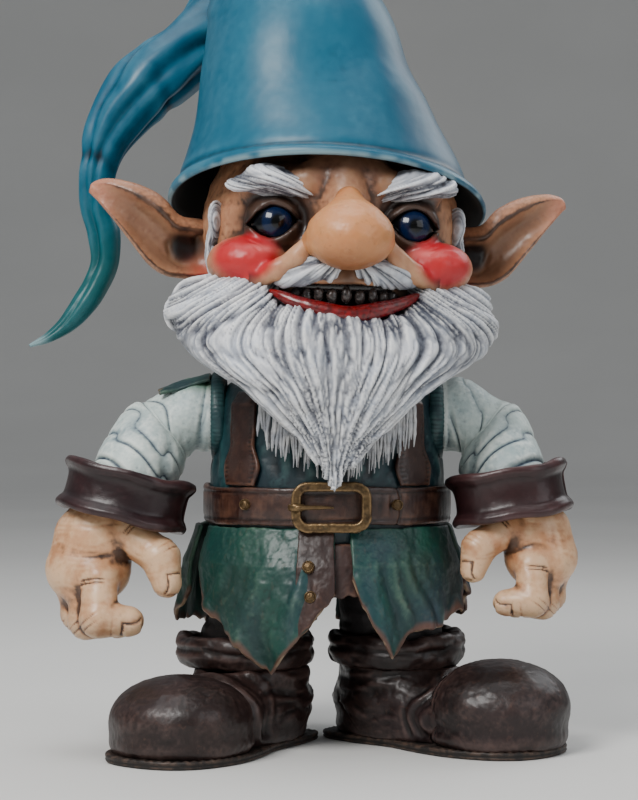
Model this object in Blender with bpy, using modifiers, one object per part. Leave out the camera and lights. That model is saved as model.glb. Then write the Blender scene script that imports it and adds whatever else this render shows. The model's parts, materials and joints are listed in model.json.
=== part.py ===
"""Garden gnome: a cast, hand-painted figure about 0.55 m tall, as an assembly of separate castings.

Metres, +Z up. The gnome faces -Y and its own right hand is at -X. Everything is modelled with the
neck axis at x = y = 0 and the soles at z = 0, then moved so that the origin lies under the middle
of the whole figure's bounding box.
"""

import math

import bmesh
import bpy
from mathutils import Euler, Matrix, Vector

# Driving dimensions
GAP = 0.0005  # air between touching castings
FACE_GAP = 0.0012  # the glue line around what is stuck on the head
HEAD_TURN = math.radians(6.0)  # rest angle of the face, towards the gnome's left
HEAD_LEAN = math.radians(1.5)  # the head castings lean towards the gnome's left on an upright neck

# Torso: height, half width, half depth
TORSO = (
    (0.112, 0.072, 0.060),
    (0.135, 0.077, 0.065),
    (0.172, 0.077, 0.066),
    (0.192, 0.075, 0.064),
    (0.222, 0.0735, 0.060),
    (0.237, 0.062, 0.050),
    (0.243, 0.036, 0.034),
)
BELT_LOW, BELT_HIGH, BELT_THICK = 0.1455, 0.1695, 0.004
BELT_MID = (BELT_LOW + BELT_HIGH) / 2
BELT_HALF_W, BELT_HALF_D = TORSO[2][1] + GAP, TORSO[2][2] + GAP
ROUND = 24  # points around the torso and the belt
BUCKLE_X, BUCKLE_HALF_W, BUCKLE_HALF_H, BUCKLE_BAR = 0.0025, 0.0222, 0.0130, 0.0028
BRACE_X, BRACE_HALF_W, BRACE_THICK = 0.053, 0.0080, 0.003

# Coat skirt: height, half width, half depth of its flare, and the panels as front angles in degrees
SKIRT = ((0.1438, 0.0790, 0.0660), (0.120, 0.087, 0.076), (0.090, 0.091, 0.081), (0.045, 0.093, 0.084))
SKIRT_THICK = 0.003

# Neck
NECK_POST_R, NECK_POST_LOW, NECK_POST_HIGH = 0.011, 0.220, 0.315
NECK_WASHER_R, NECK_WASHER_THICK = 0.026, 0.003
TORSO_TOP = TORSO[-1][0]
HEAD_BOTTOM = TORSO_TOP + NECK_WASHER_THICK + 2 * GAP

# Head
SKULL_CENTRE, SKULL_RADII = Vector((0.0, 0.0, 0.338)), Vector((0.085, 0.085, 0.078))
EYE_X, EYE_Y, EYE_Z, EYE_R = 0.0435, -0.068, 0.335, 0.0145
NOSE_CENTRE, NOSE_RADII = Vector((0.0, -0.118, 0.3250)), Vector((0.0275, 0.029, 0.0215))
BROW_X, BROW_Y, BROW_Z, BROW_RADII = 0.0440, -0.080, 0.3600, (0.0285, 0.0125, 0.0095)
MOUSTACHE_X, MOUSTACHE_Y, MOUSTACHE_Z, MOUSTACHE_RADII = 0.0255, -0.100, 0.3025, (0.0210, 0.0110, 0.0080)
CHEEK_X, CHEEK_Y, CHEEK_Z, CHEEK_RADII = 0.053, -0.062, 0.311, (0.028, 0.028, 0.020)
RIDGE_X, RIDGE_Y, RIDGE_Z, RIDGE_RADII = 0.038, -0.064, 0.359, (0.029, 0.020, 0.013)
CHIN_CENTRE, CHIN_RADII = (0, -0.066, 0.292), (0.046, 0.034, 0.024)
NECK_R = 0.030
TEETH_CENTRE, TEETH_RADII = (0, -0.070, 0.2895), (0.042, 0.030, 0.0052)

# Arms: the shoulder's flat seat, and the peg that each arm turns on
SHOULDER_X, SHOULDER_Z, SHOULDER_R = 0.0755, 0.2145, 0.0235
PEG_R, PEG_INNER_X, PEG_OUTER_X = 0.008, 0.058, 0.094


def clear_scene():
    for obj in list(bpy.data.objects):
        bpy.data.objects.remove(obj, do_unlink=True)


def new_collection(name):
    collection = bpy.data.collections.new(name)
    bpy.context.scene.collection.children.link(collection)
    return collection


def new_material(name, colour, roughness, metallic=0.0):
    material = bpy.data.materials.new(name)
    material.use_nodes = True
    shader = material.node_tree.nodes["Principled BSDF"]
    shader.inputs["Base Color"].default_value = (*colour, 1.0)
    shader.inputs["Roughness"].default_value = roughness
    shader.inputs["Metallic"].default_value = metallic
    material.diffuse_color = (*colour, 1.0)
    return material


clear_scene()
PARTS = new_collection("garden_gnome")
CUTTERS = new_collection("cutters")
MATERIAL = {
    "skin": new_material("skin_paint", (0.62, 0.42, 0.28), 0.5),
    "beard": new_material("beard_paint", (0.78, 0.79, 0.80), 0.65),
    "yarn": new_material("yarn", (0.72, 0.72, 0.68), 0.9),
    "hat": new_material("hat_paint", (0.03, 0.28, 0.42), 0.4),
    "lining": new_material("foam_lining", (0.03, 0.03, 0.03), 0.9),
    "vest": new_material("vest_paint", (0.02, 0.14, 0.17), 0.5),
    "coat": new_material("coat_paint", (0.01, 0.20, 0.17), 0.45),
    "shirt": new_material("shirt_paint", (0.62, 0.72, 0.68), 0.55),
    "leather": new_material("leather_paint", (0.13, 0.06, 0.04), 0.4),
    "boot": new_material("boot_paint", (0.09, 0.05, 0.045), 0.35),
    "sole": new_material("sole_paint", (0.05, 0.04, 0.03), 0.6),
    "trousers": new_material("trouser_paint", (0.05, 0.03, 0.02), 0.6),
    "brass": new_material("aged_brass", (0.45, 0.30, 0.10), 0.35, 1.0),
    "eye": new_material("eye_glass", (0.01, 0.02, 0.06), 0.05),
    "lip": new_material("lip_paint", (0.55, 0.03, 0.04), 0.3),
    "teeth": new_material("teeth_paint", (0.12, 0.09, 0.06), 0.4),
    "steel": new_material("steel", (0.55, 0.55, 0.56), 0.35, 1.0),
}


def new_empty(name, location, parent=None):
    empty = bpy.data.objects.new(name, None)
    PARTS.objects.link(empty)
    empty.location = location
    if parent:
        empty.parent = parent
        empty.location = Vector(location) - parent.matrix_world.translation
    bpy.context.view_layer.update()
    return empty


ROOT = new_empty("figure", (0, 0, 0))
BODY = {
    "body": ROOT,
    "head": new_empty("neck_axis", (0, 0, HEAD_BOTTOM), ROOT),
    "hat": new_empty("hat_axis", (0, 0, HEAD_BOTTOM), ROOT),
    "right_arm": new_empty("right_shoulder_axis", (-SHOULDER_X, 0, SHOULDER_Z), ROOT),
    "left_arm": new_empty("left_shoulder_axis", (SHOULDER_X, 0, SHOULDER_Z), ROOT),
}


def lean_head(data):
    """Leans a mesh or curve of the head about the foot of the neck."""
    pivot = Matrix.Translation((0, 0, HEAD_BOTTOM))
    data.transform(pivot @ Matrix.Rotation(HEAD_LEAN, 4, "Y") @ pivot.inverted())


def add_part(name, mesh, material, body, smooth=True):
    """A part whose mesh is given in the figure's frame; it hangs from its body's empty."""
    if body == "head":
        lean_head(mesh)
    obj = bpy.data.objects.new(name, mesh)
    PARTS.objects.link(obj)
    mesh.materials.clear()
    mesh.materials.append(MATERIAL[material])
    if smooth:
        mesh.shade_smooth()
        mesh.set_sharp_from_angle(angle=math.radians(40))
    obj.parent = BODY[body]
    obj.matrix_parent_inverse = BODY[body].matrix_world.inverted()
    return obj


def mesh_from(bm, name):
    bmesh.ops.recalc_face_normals(bm, faces=bm.faces)
    mesh = bpy.data.meshes.new(name)
    bm.to_mesh(mesh)
    bm.free()
    return mesh


def add_modifier(obj, kind, **settings):
    modifier = obj.modifiers.new(kind.title(), kind)
    for key, value in settings.items():
        setattr(modifier, key, value)
    return modifier


def evaluated_mesh(obj):
    bpy.context.view_layer.update()
    graph = bpy.context.evaluated_depsgraph_get()
    mesh = bpy.data.meshes.new_from_object(obj.evaluated_get(graph))
    bm = bmesh.new()
    bm.from_mesh(mesh)
    bmesh.ops.remove_doubles(bm, verts=bm.verts, dist=1e-6)
    bm.to_mesh(mesh)
    bm.free()
    return mesh


def baked(obj):
    """Replaces an object's modifiers, or a curve, with its plain mesh."""
    mesh = evaluated_mesh(obj)
    name, matrix = obj.name, obj.matrix_world.copy()
    parent, inverse = obj.parent, obj.matrix_parent_inverse.copy()
    bpy.data.objects.remove(obj, do_unlink=True)
    made = bpy.data.objects.new(name, mesh)
    PARTS.objects.link(made)
    made.parent, made.matrix_parent_inverse = parent, inverse
    made.matrix_world = matrix
    return made


def add_guide(name, mesh, body):
    """A cutter that isn't one of the parts."""
    guide = bpy.data.objects.new(name, mesh)
    CUTTERS.objects.link(guide)
    guide.hide_render = True
    guide.display_type = "WIRE"
    guide.parent = BODY[body]
    guide.matrix_parent_inverse = BODY[body].matrix_world.inverted()
    return guide


def cut(target, tool, gap=GAP):
    """Takes the tool's solid, grown by gap, out of the target."""
    mesh = evaluated_mesh(tool)
    for vertex, normal in zip(mesh.vertices, [n.vector.copy() for n in mesh.vertex_normals]):
        vertex.co += normal * gap
    cutter = bpy.data.objects.new(f"cut_{target.name}_{tool.name}", mesh)
    CUTTERS.objects.link(cutter)
    cutter.hide_render = True
    cutter.display_type = "WIRE"
    cutter.parent, cutter.matrix_parent_inverse = tool.parent, tool.matrix_parent_inverse.copy()
    add_modifier(target, "BOOLEAN", operation="DIFFERENCE", object=cutter)


def trim(target, name, centre, size, body="body"):
    """Takes a box out of the target, for a flat end."""
    bm = bmesh.new()
    bmesh.ops.create_cube(bm, size=1, matrix=Matrix.LocRotScale(Vector(centre), None, Vector(size)))
    add_modifier(target, "BOOLEAN", operation="DIFFERENCE", object=add_guide(name, mesh_from(bm, name), body))


def between(table, key):
    """Reads a table of rows that start with a falling or rising key, with straight lines between rows."""
    rows = sorted(table)
    if key <= rows[0][0]:
        return rows[0][1:]
    for low, high in zip(rows, rows[1:]):
        if key <= high[0]:
            share = (key - low[0]) / (high[0] - low[0])
            return tuple(a + (b - a) * share for a, b in zip(low[1:], high[1:]))
    return rows[-1][1:]


def ring(centre, half_u, half_v, axis_u=(1, 0, 0), axis_v=(0, 1, 0), count=20, power=2.0):
    """Points of a superellipse."""
    centre, axis_u, axis_v = Vector(centre), Vector(axis_u).normalized(), Vector(axis_v).normalized()
    points = []
    for i in range(count):
        angle = 2 * math.pi * i / count
        c, s = math.cos(angle), math.sin(angle)
        u = math.copysign(abs(c) ** (2 / power), c) * half_u
        v = math.copysign(abs(s) ** (2 / power), s) * half_v
        points.append(centre + axis_u * u + axis_v * v)
    return points


def loft(name, rings, capped=True):
    """A skin over rings with equal numbers of points."""
    bm = bmesh.new()
    rows = [[bm.verts.new(p) for p in points] for points in rings]
    for lower, upper in zip(rows, rows[1:]):
        count = len(lower)
        for i in range(count):
            j = (i + 1) % count
            bm.faces.new((lower[i], lower[j], upper[j], upper[i]))
    if capped:
        bm.faces.new(list(reversed(rows[0])))
        bm.faces.new(rows[-1])
    return mesh_from(bm, name)


def add_blob(bm, centre, radii, turn=(0, 0, 0), segments=16, rings=10):
    matrix = Matrix.LocRotScale(Vector(centre), Euler(turn), Vector(radii))
    bmesh.ops.create_uvsphere(bm, u_segments=segments, v_segments=rings, radius=1, matrix=matrix)


def blob_mesh(name, centre, radii, turn=(0, 0, 0), segments=16, rings=10):
    bm = bmesh.new()
    add_blob(bm, centre, radii, turn, segments, rings)
    return mesh_from(bm, name)


def limb(bm, start, end, start_r, end_r, steps=4):
    """A tapered finger or thumb, as overlapping balls."""
    start, end = Vector(start), Vector(end)
    for i in range(steps + 1):
        share = i / steps
        radius = start_r + (end_r - start_r) * share
        add_blob(bm, start.lerp(end, share), (radius,) * 3, segments=12, rings=8)


def fused(name, bm, material, body, voxel, share=1.0):
    """Overlapping blobs joined into one skin, which may be thinned to a share of its triangles."""
    obj = add_part(name, mesh_from(bm, name), material, body)
    add_modifier(obj, "REMESH", mode="VOXEL", voxel_size=voxel)
    if share < 1:
        add_modifier(obj, "DECIMATE", ratio=share)
    return baked(obj)


def cylinder(name, start, end, radius, material, body, segments=20):
    start, end = Vector(start), Vector(end)
    turn = (end - start).to_track_quat("Z", "Y")
    matrix = Matrix.LocRotScale((start + end) / 2, turn, None)
    bm = bmesh.new()
    bmesh.ops.create_cone(
        bm, cap_ends=True, segments=segments, radius1=radius, radius2=radius,
        depth=(end - start).length, matrix=matrix,
    )
    return add_part(name, mesh_from(bm, name), material, body)


def wire(name, points, radius, material, body, cyclic=False, radii=None, resolution=2):
    """A bar or tapered tail that follows points."""
    curve = bpy.data.curves.new(name, "CURVE")
    curve.dimensions = "3D"
    curve.bevel_depth = radius
    curve.bevel_resolution = resolution
    curve.use_fill_caps = True
    spline = curve.splines.new("POLY")
    spline.points.add(len(points) - 1)
    spline.use_cyclic_u = cyclic
    for i, (target, point) in enumerate(zip(spline.points, points)):
        target.co = (*point, 1)
        target.radius = radii[i] if radii else 1.0
    obj = bpy.data.objects.new(name, curve)
    PARTS.objects.link(obj)
    curve.materials.append(MATERIAL[material])
    if body == "head":
        lean_head(curve)
    obj.parent = BODY[body]
    obj.matrix_parent_inverse = BODY[body].matrix_world.inverted()
    return obj


def patch(name, place, columns, rows, thickness, material, body):
    """A curved sheet: place(u, v) gives the inner surface for u and v from 0 to 1."""
    bm = bmesh.new()
    bmesh.ops.create_grid(bm, x_segments=columns, y_segments=rows, size=0.5)
    for vertex in bm.verts:
        vertex.co = place(vertex.co.x + 0.5, vertex.co.y + 0.5)
    mesh = bpy.data.meshes.new(name)
    bm.to_mesh(mesh)
    bm.free()
    obj = add_part(name, mesh, material, body)
    add_modifier(obj, "SOLIDIFY", thickness=thickness, offset=1.0, use_even_offset=True)
    return obj


# ---------------------------------------------------------------- torso, belt and braces


def torso_point(angle, height, out=0.0):
    """A point on the torso; the angle runs from the front, -Y, towards +X."""
    half_w, half_d = between(TORSO, height)
    return Vector(((half_w + out) * math.sin(angle), -(half_d + out) * math.cos(angle), height))


def make_torso():
    rings = [ring((0, 0, z), a, b, count=ROUND) for z, a, b in TORSO]
    return add_part("torso", loft("torso", rings), "vest", "body")


def make_belt():
    rings = [ring((0, 0, z), BELT_HALF_W, BELT_HALF_D, count=ROUND) for z in (BELT_LOW, BELT_HIGH)]
    belt = add_part("belt", loft("belt", rings, capped=False), "leather", "body")
    add_modifier(belt, "SOLIDIFY", thickness=BELT_THICK, offset=1.0)
    return belt


def rounded_rectangle(half_w, half_h, corner, y, centre_z, centre_x=0.0, steps=4):
    points = []
    for quarter in range(4):
        sx = (1, -1, -1, 1)[quarter]
        sz = (1, 1, -1, -1)[quarter]
        for i in range(steps + 1):
            angle = math.pi / 2 * (quarter + i / steps)
            x = centre_x + sx * (half_w - corner) + corner * math.cos(angle)
            z = centre_z + sz * (half_h - corner) + corner * math.sin(angle)
            points.append((x, y, z))
    return points


def make_buckle():
    belt_front = -(BELT_HALF_D + BELT_THICK)
    bar_y = belt_front - BUCKLE_BAR - GAP
    frame = rounded_rectangle(BUCKLE_HALF_W, BUCKLE_HALF_H, 0.006, bar_y, BELT_MID, BUCKLE_X)
    wire("belt_buckle", frame, BUCKLE_BAR, "brass", "body", cyclic=True)
    prong_start = BUCKLE_X - BUCKLE_HALF_W + 2 * BUCKLE_BAR
    prong = [(prong_start + x, bar_y + 0.0002, BELT_MID) for x in (0.0, 0.006, 0.012, 0.018)]
    wire("buckle_prong", prong, 0.0022, "brass", "body", radii=[1.2, 1.1, 1.0, 0.7])


def make_stud(name, x, z):
    """A domed rivet on the belt."""
    half_w, half_d = BELT_HALF_W + BELT_THICK, BELT_HALF_D + BELT_THICK
    y = -half_d * math.sqrt(1 - (x / half_w) ** 2)
    normal = Vector((x / half_w**2, y / half_d**2, 0)).normalized()
    centre = Vector((x, y, z)) + normal * 0.0012
    stud = add_part(
        name,
        blob_mesh(name, centre, (0.0036, 0.0022, 0.0036), (0, 0, math.atan2(normal.x, -normal.y)), 12, 6),
        "brass",
        "body",
    )
    cut(stud, bpy.data.objects["belt"], 0.0003)


def make_brace(name, side):
    """A strap from the shoulder to the belt, with a wider tab at its lower end."""
    low, high = BELT_HIGH + 0.0008, 0.230
    angle_mid = math.asin(BRACE_X / TORSO[3][1])

    def place(u, v):
        height = low + (high - low) * v
        tab = 1.0 + 0.35 * math.exp(-(((height - 0.181) / 0.010) ** 2))
        angle = side * angle_mid + (u - 0.5) * 2 * BRACE_HALF_W * tab / TORSO[3][1] / math.cos(angle_mid)
        return torso_point(angle, height, 0.0012)

    patch(name, place, 3, 8, BRACE_THICK, "leather", "body")


# ---------------------------------------------------------------- coat skirt and buttons


HEM = {  # the ragged lower edges: front angle in degrees, height
    "front_right": ((-70, 0.106), (-53, 0.085), (-43, 0.074), (-23, 0.052), (-14, 0.070), (3, 0.102)),
    "front_left": ((10, 0.112), (14, 0.093), (25, 0.063), (35, 0.076), (46, 0.079), (66, 0.089), (74, 0.105)),
    "back_right": ((-176, 0.070), (-150, 0.056), (-125, 0.074), (-100, 0.082), (-86, 0.079), (-74, 0.100)),
    "back_left": ((78, 0.104), (100, 0.084), (125, 0.078), (150, 0.058), (176, 0.072)),
    "centre": ((-10, 0.100), (22, 0.100)),
}


def skirt_point(angle, height, out=0.0):
    half_w, half_d = between(SKIRT, height)
    return Vector(((half_w + out) * math.sin(angle), -(half_d + out) * math.cos(angle), height))


def make_tail(name, first, last, hem, columns=10, out=0.0, top=SKIRT[0][0]):
    """A coat tail between two front angles. hem is a table of angle and height along its ragged edge."""

    def place(u, v):
        degrees = first + (last - first) * u
        low = between(hem, degrees)[0]
        return skirt_point(math.radians(degrees), low + (top - low) * v, out)

    return patch(name, place, columns, 4, SKIRT_THICK, "coat", "body")


def make_button(name, angle, height):
    out = SKIRT_THICK + 0.0006
    outside = skirt_point(angle, height, out)
    slope = (skirt_point(angle, height + 0.005, out) - skirt_point(angle, height - 0.005, out)).normalized()
    across = (skirt_point(angle + 0.03, height, out) - skirt_point(angle - 0.03, height, out)).normalized()
    normal = across.cross(slope).normalized()
    cylinder(name, outside + normal * 0.0006, outside + normal * 0.0034, 0.0038, "brass", "body", 14)


# ---------------------------------------------------------------- trousers and boots

LEG_R = 0.033
BOOTS = {  # heel centre and toe centre on the ground, and the ankle's centre
    "right": {"heel": (-0.041, 0.000), "toe": (-0.092, -0.075), "ankle": (-0.054, -0.006), "cap": 0.0270},
    "left": {"heel": (0.034, 0.016), "toe": (0.110, -0.043), "ankle": (0.046, 0.006), "cap": 0.0300},
}
SOLE_THICK = 0.005
SOLE_OUTLINE = (  # distance ahead of the heel's centre, half width
    (-0.032, 0.013), (-0.026, 0.025), (0.000, 0.031), (0.032, 0.033), (0.060, 0.041),
    (0.088, 0.045), (0.114, 0.040), (0.130, 0.028), (0.137, 0.011),
)
TOE_HALF_LENGTH, TOE_HALF_WIDTH = 0.0460, 0.0455
BOOT_TOP, BOOT_CUFF_LOW, BOOT_CUFF_HIGH = 0.0500, 0.0505, 0.0720
CUFF_RINGS = ((BOOT_CUFF_LOW, 0.038), (0.056, 0.0445), (0.064, 0.0445), (BOOT_CUFF_HIGH, 0.039))


def boot_frame(side):
    """Heel point, the direction of the toe and the direction across the boot."""
    heel, toe = Vector(BOOTS[side]["heel"]), Vector(BOOTS[side]["toe"])
    along = (toe - heel).normalized()
    return heel, along, Vector((-along.y, along.x)), (toe - heel).length


def boot_point(side, along_m, across_m, height):
    heel, along, across, _ = boot_frame(side)
    spot = heel + along * along_m + across * across_m
    return Vector((spot.x, spot.y, height))


def make_boot(side):
    _, along, _, length = boot_frame(side)
    yaw = math.atan2(along.y, along.x)
    cap = BOOTS[side]["cap"]
    right_edge = [boot_point(side, a, -w, 0) for a, w in SOLE_OUTLINE]
    left_edge = [boot_point(side, a, w, 0) for a, w in reversed(SOLE_OUTLINE)]
    edge = right_edge + left_edge
    lifted = [Vector((p.x, p.y, SOLE_THICK)) for p in edge]
    add_part(f"boot_sole_{side}", loft("sole", [edge, lifted]), "sole", "body", smooth=False)

    floor = SOLE_THICK + GAP
    toe = add_part(
        f"boot_toe_{side}",
        blob_mesh(
            "toe", boot_point(side, length, 0, cap - 0.001), (TOE_HALF_LENGTH, TOE_HALF_WIDTH, cap),
            (0, 0, yaw), 18, 10,
        ),
        "boot",
        "body",
    )
    trim(toe, f"toe_floor_{side}", boot_point(side, length, 0, floor - 0.05), (0.3, 0.3, 0.1))

    sections = []  # the upper's spine from the toe seam back to the heel and up the ankle
    ankle = Vector((*BOOTS[side]["ankle"], 0))
    lean = (ankle - boot_point(side, 0, 0, 0)).length
    for a, across, height in ((0.072, 0.037, 0.021), (0.052, 0.035, 0.025), (0.030, 0.033, 0.027),
                              (0.004, 0.030, 0.027)):
        sections.append((boot_point(side, a, 0, height), (0.033, across, height * 0.95)))
    bm = bmesh.new()
    for centre, radii in sections:
        add_blob(bm, centre, radii, (0, 0, yaw))
    for share in (0.0, 0.5, 1.0):
        height = 0.034 + (BOOT_TOP - 0.034) * share
        add_blob(bm, boot_point(side, lean, 0, height), (0.037, 0.037, 0.02))
    upper = fused(f"boot_upper_{side}", bm, "boot", "body", 0.006, 0.18)
    trim(upper, f"upper_floor_{side}", boot_point(side, 0.05, 0, floor - 0.05), (0.4, 0.4, 0.1))
    trim(upper, f"upper_top_{side}", boot_point(side, 0.03, 0, BOOT_TOP + 0.05), (0.4, 0.4, 0.1))
    cut(upper, toe)

    spot = boot_point(side, lean, 0, 0)
    cuff_rings = [ring((spot.x, spot.y, z), r, r, count=20) for z, r in CUFF_RINGS]
    cuff = add_part(f"boot_cuff_{side}", loft("cuff", cuff_rings), "boot", "body")
    return cuff, spot


def make_leg(side, cuff, spot):
    """A short trouser leg that stands in the boot's cuff and runs up to the seat."""
    sign = -1 if side == "right" else 1
    hip = Vector((sign * 0.038, 0.000, 0.1065))
    rings = []
    for share, r in ((0.0, LEG_R - 0.004), (0.25, LEG_R), (0.6, LEG_R), (1.0, LEG_R - 0.002)):
        centre = Vector((spot.x, spot.y, 0.0545)).lerp(hip, share)
        rings.append(ring(centre, r, r, count=16))
    leg = add_part(f"trouser_leg_{side}", loft("leg", rings), "trousers", "body")
    cut(cuff, leg)


def make_seat():
    rings = [ring((0, 0, z), a, b, count=20) for z, a, b in ((0.1073, 0.070, 0.040), (0.1113, 0.072, 0.050))]
    return add_part("trouser_seat", loft("seat", rings), "trousers", "body")


# ---------------------------------------------------------------- neck


def make_neck(torso):
    post = cylinder("neck_post", (0, 0, NECK_POST_LOW), (0, 0, NECK_POST_HIGH), NECK_POST_R, "steel", "body")
    washer = cylinder(
        "neck_washer", (0, 0, TORSO_TOP + GAP), (0, 0, TORSO_TOP + GAP + NECK_WASHER_THICK),
        NECK_WASHER_R, "steel", "body", 24,
    )
    cut(washer, post)
    cut(torso, post)
    return post


# ---------------------------------------------------------------- head


def make_head(post):
    bm = bmesh.new()
    add_blob(bm, SKULL_CENTRE, SKULL_RADII, segments=24, rings=16)
    for side in (-1, 1):
        add_blob(bm, (side * CHEEK_X, CHEEK_Y, CHEEK_Z), CHEEK_RADII)
        add_blob(bm, (side * RIDGE_X, RIDGE_Y, RIDGE_Z), RIDGE_RADII, (0, 0, side * 0.4))
    add_blob(bm, CHIN_CENTRE, CHIN_RADII)
    bmesh.ops.create_cone(
        bm, cap_ends=True, segments=20, radius1=NECK_R, radius2=NECK_R, depth=0.05,
        matrix=Matrix.Translation((0, 0, 0.270)),
    )
    head = fused("head_casting", bm, "skin", "head", 0.0115)
    uncut = add_guide("head_uncut", head.data.copy(), "head")
    trim(head, "head_floor", (0, 0, HEAD_BOTTOM - 0.05), (0.4, 0.4, 0.1), "head")
    cut(head, post, 0.0006)
    return baked(head), uncut


def make_eyes(head):
    for name, side in (("eye_right", -1), ("eye_left", 1)):
        ball = blob_mesh(name, (side * EYE_X, EYE_Y, EYE_Z), (EYE_R,) * 3, segments=14, rings=8)
        eye = add_part(name, ball, "eye", "head")
        cut(head, eye)
    return baked(head)


def make_teeth(head):
    """A curved dental plate set into the mouth."""
    mouth = blob_mesh("teeth", TEETH_CENTRE, TEETH_RADII, segments=16, rings=6)
    teeth = add_part("teeth", mouth, "teeth", "head")
    cut(head, teeth)


def stuck_on(name, mesh, material, uncut):
    """A piece glued to the outside of the head, cut to fit it."""
    piece = add_part(name, mesh, material, "head")
    cut(piece, uncut, FACE_GAP)
    return piece


def make_face(uncut):
    nose = stuck_on("nose", blob_mesh("nose", NOSE_CENTRE, NOSE_RADII, segments=18, rings=12), "skin", uncut)
    for name, side in (("right", -1), ("left", 1)):
        brow = bmesh.new()
        brow_turn = (0, side * 0.05, side * 0.55)
        add_blob(brow, (side * BROW_X, BROW_Y, BROW_Z), BROW_RADII, brow_turn, 14, 8)
        stuck_on(f"eyebrow_{name}", mesh_from(brow, "brow"), "beard", uncut)
        spot = (side * MOUSTACHE_X, MOUSTACHE_Y, MOUSTACHE_Z)
        moustache = blob_mesh("moustache", spot, MOUSTACHE_RADII, (0, side * 0.25, side * 0.45), 14, 8)
        piece = stuck_on(f"moustache_{name}", moustache, "beard", uncut)
        cut(piece, nose)


def ear_rings(side):
    """Ear sections from the side of the head out to the tip: centre, half height, half thickness."""
    table = (
        ((0.074, 0.006, 0.321), 0.0185, 0.009),
        ((0.092, 0.001, 0.322), 0.0200, 0.010),
        ((0.104, -0.002, 0.3235), 0.0200, 0.010),
        ((0.1145, -0.003, 0.3320), 0.0225, 0.009),
        ((0.134, 0.000, 0.3480), 0.0160, 0.008),
        ((0.150, 0.006, 0.358), 0.0085, 0.0055),
        ((0.159, 0.009, 0.360), 0.0030, 0.0025),
    )
    up = Vector((-0.20 * side, 0, 1))
    return [
        ring((side * x, y, z), h, t, up, (0.2 * side, 1, 0), count=12) for (x, y, z), h, t in table
    ]


def make_ears(uncut):
    for name, side in (("ear_right", -1), ("ear_left", 1)):
        ear = add_part(name, loft(name, ear_rings(side)), "skin", "head")
        cut(ear, uncut, FACE_GAP)


# Beard sections from the cheeks down to its point: height, half width, front y, back y
BEARD = (
    (0.301, 0.086, -0.090, 0.008),
    (0.295, 0.098, -0.100, 0.014),
    (0.277, 0.106, -0.111, 0.012),
    (0.262, 0.100, -0.116, 0.000),
    (0.250, 0.088, -0.117, -0.030),
    (0.238, 0.071, -0.116, -0.060),
    (0.227, 0.055, -0.114, -0.076),
    (0.208, 0.033, -0.108, -0.085),
    (0.194, 0.019, -0.103, -0.086),
    (0.181, 0.009, -0.098, -0.087),
    (0.169, 0.0025, -0.095, -0.088),
)
BEARD_SHIFT = -0.003
NECK_ROOM = ((0, 0.034, 0.254), (0.068, 0.072, 0.046))  # centre and radii of what is taken out of the beard
MOUTH_ROOM = ((0, -0.112, 0.3025), (0.058, 0.050, 0.0285))


def make_beard(uncut):
    rings = [
        ring((BEARD_SHIFT, (front + back) / 2, z), half_w, (back - front) / 2, count=22, power=2.2)
        for z, half_w, front, back in BEARD
    ]
    beard = add_part("beard", loft("beard", rings), "beard", "head")
    neck_room = bmesh.new()  # the beard is a collar in front of the neck, open behind
    add_blob(neck_room, *NECK_ROOM)
    scoop = blob_mesh("mouth_room", *MOUTH_ROOM, segments=20, rings=12)
    lean_head(scoop)
    for room in (mesh_from(neck_room, "neck_room"), scoop):
        add_modifier(beard, "BOOLEAN", operation="DIFFERENCE", object=add_guide(room.name, room, "head"))
    cut(beard, uncut, FACE_GAP)
    return baked(beard)


def make_lip(uncut, beard):
    """The red lower lip, an arc below the mouth."""
    points = []
    for i in range(9):
        angle = math.radians(-62 + 124 * i / 8)
        spread = math.sin(angle)
        points.append((0.047 * spread / 0.883, -0.080 - 0.026 * math.cos(angle), 0.2785 + 0.017 * spread**2))
    radii = [0.5, 0.8, 1.0, 1.15, 1.2, 1.15, 1.0, 0.8, 0.5]
    lip = baked(wire("lower_lip", points, 0.0048, "lip", "head", radii=radii))
    cut(lip, uncut, FACE_GAP)
    cut(beard, lip)


def make_fringe(beard):
    """Loose yarn that hangs under the beard and hides the neck joint, as one curved pad."""

    def place(u, v):
        angle = math.radians(-34 + 68 * u)
        low = 0.174 + 0.022 * abs(2 * u - 1) ** 1.5
        height = low + (0.236 - low) * v
        return Vector((0.086 * math.sin(angle), -0.0785 * math.cos(angle), height))

    fringe = patch("yarn_fringe", place, 10, 4, 0.006, "yarn", "head")
    cut(fringe, beard)


# ---------------------------------------------------------------- hat

# Crown sections: two opposite edge points in the x-z plane, y centre and half depth
CROWN = (
    ((-0.104, 0.3555), (0.104, 0.3475), 0.000, 0.104),
    ((-0.099, 0.3680), (0.094, 0.3620), 0.000, 0.097),
    ((-0.094, 0.3820), (0.086, 0.3800), 0.000, 0.090),
    ((-0.089, 0.4020), (0.076, 0.4020), 0.001, 0.083),
    ((-0.086, 0.4230), (0.068, 0.4230), 0.003, 0.077),
    ((-0.084, 0.4450), (0.056, 0.4450), 0.005, 0.071),
    ((-0.082, 0.4630), (0.047, 0.4680), 0.008, 0.065),
    ((-0.081, 0.4750), (0.037, 0.4900), 0.011, 0.059),
    ((-0.081, 0.4850), (0.025, 0.5100), 0.015, 0.053),
    ((-0.0765, 0.5010), (0.010, 0.5270), 0.021, 0.046),
    ((-0.0680, 0.5160), (-0.008, 0.5400), 0.028, 0.038),
)
BRIM_TILT = math.radians(15.0)  # the brim's front edge is higher than its back
CROWN_THICK = 0.004

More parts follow.
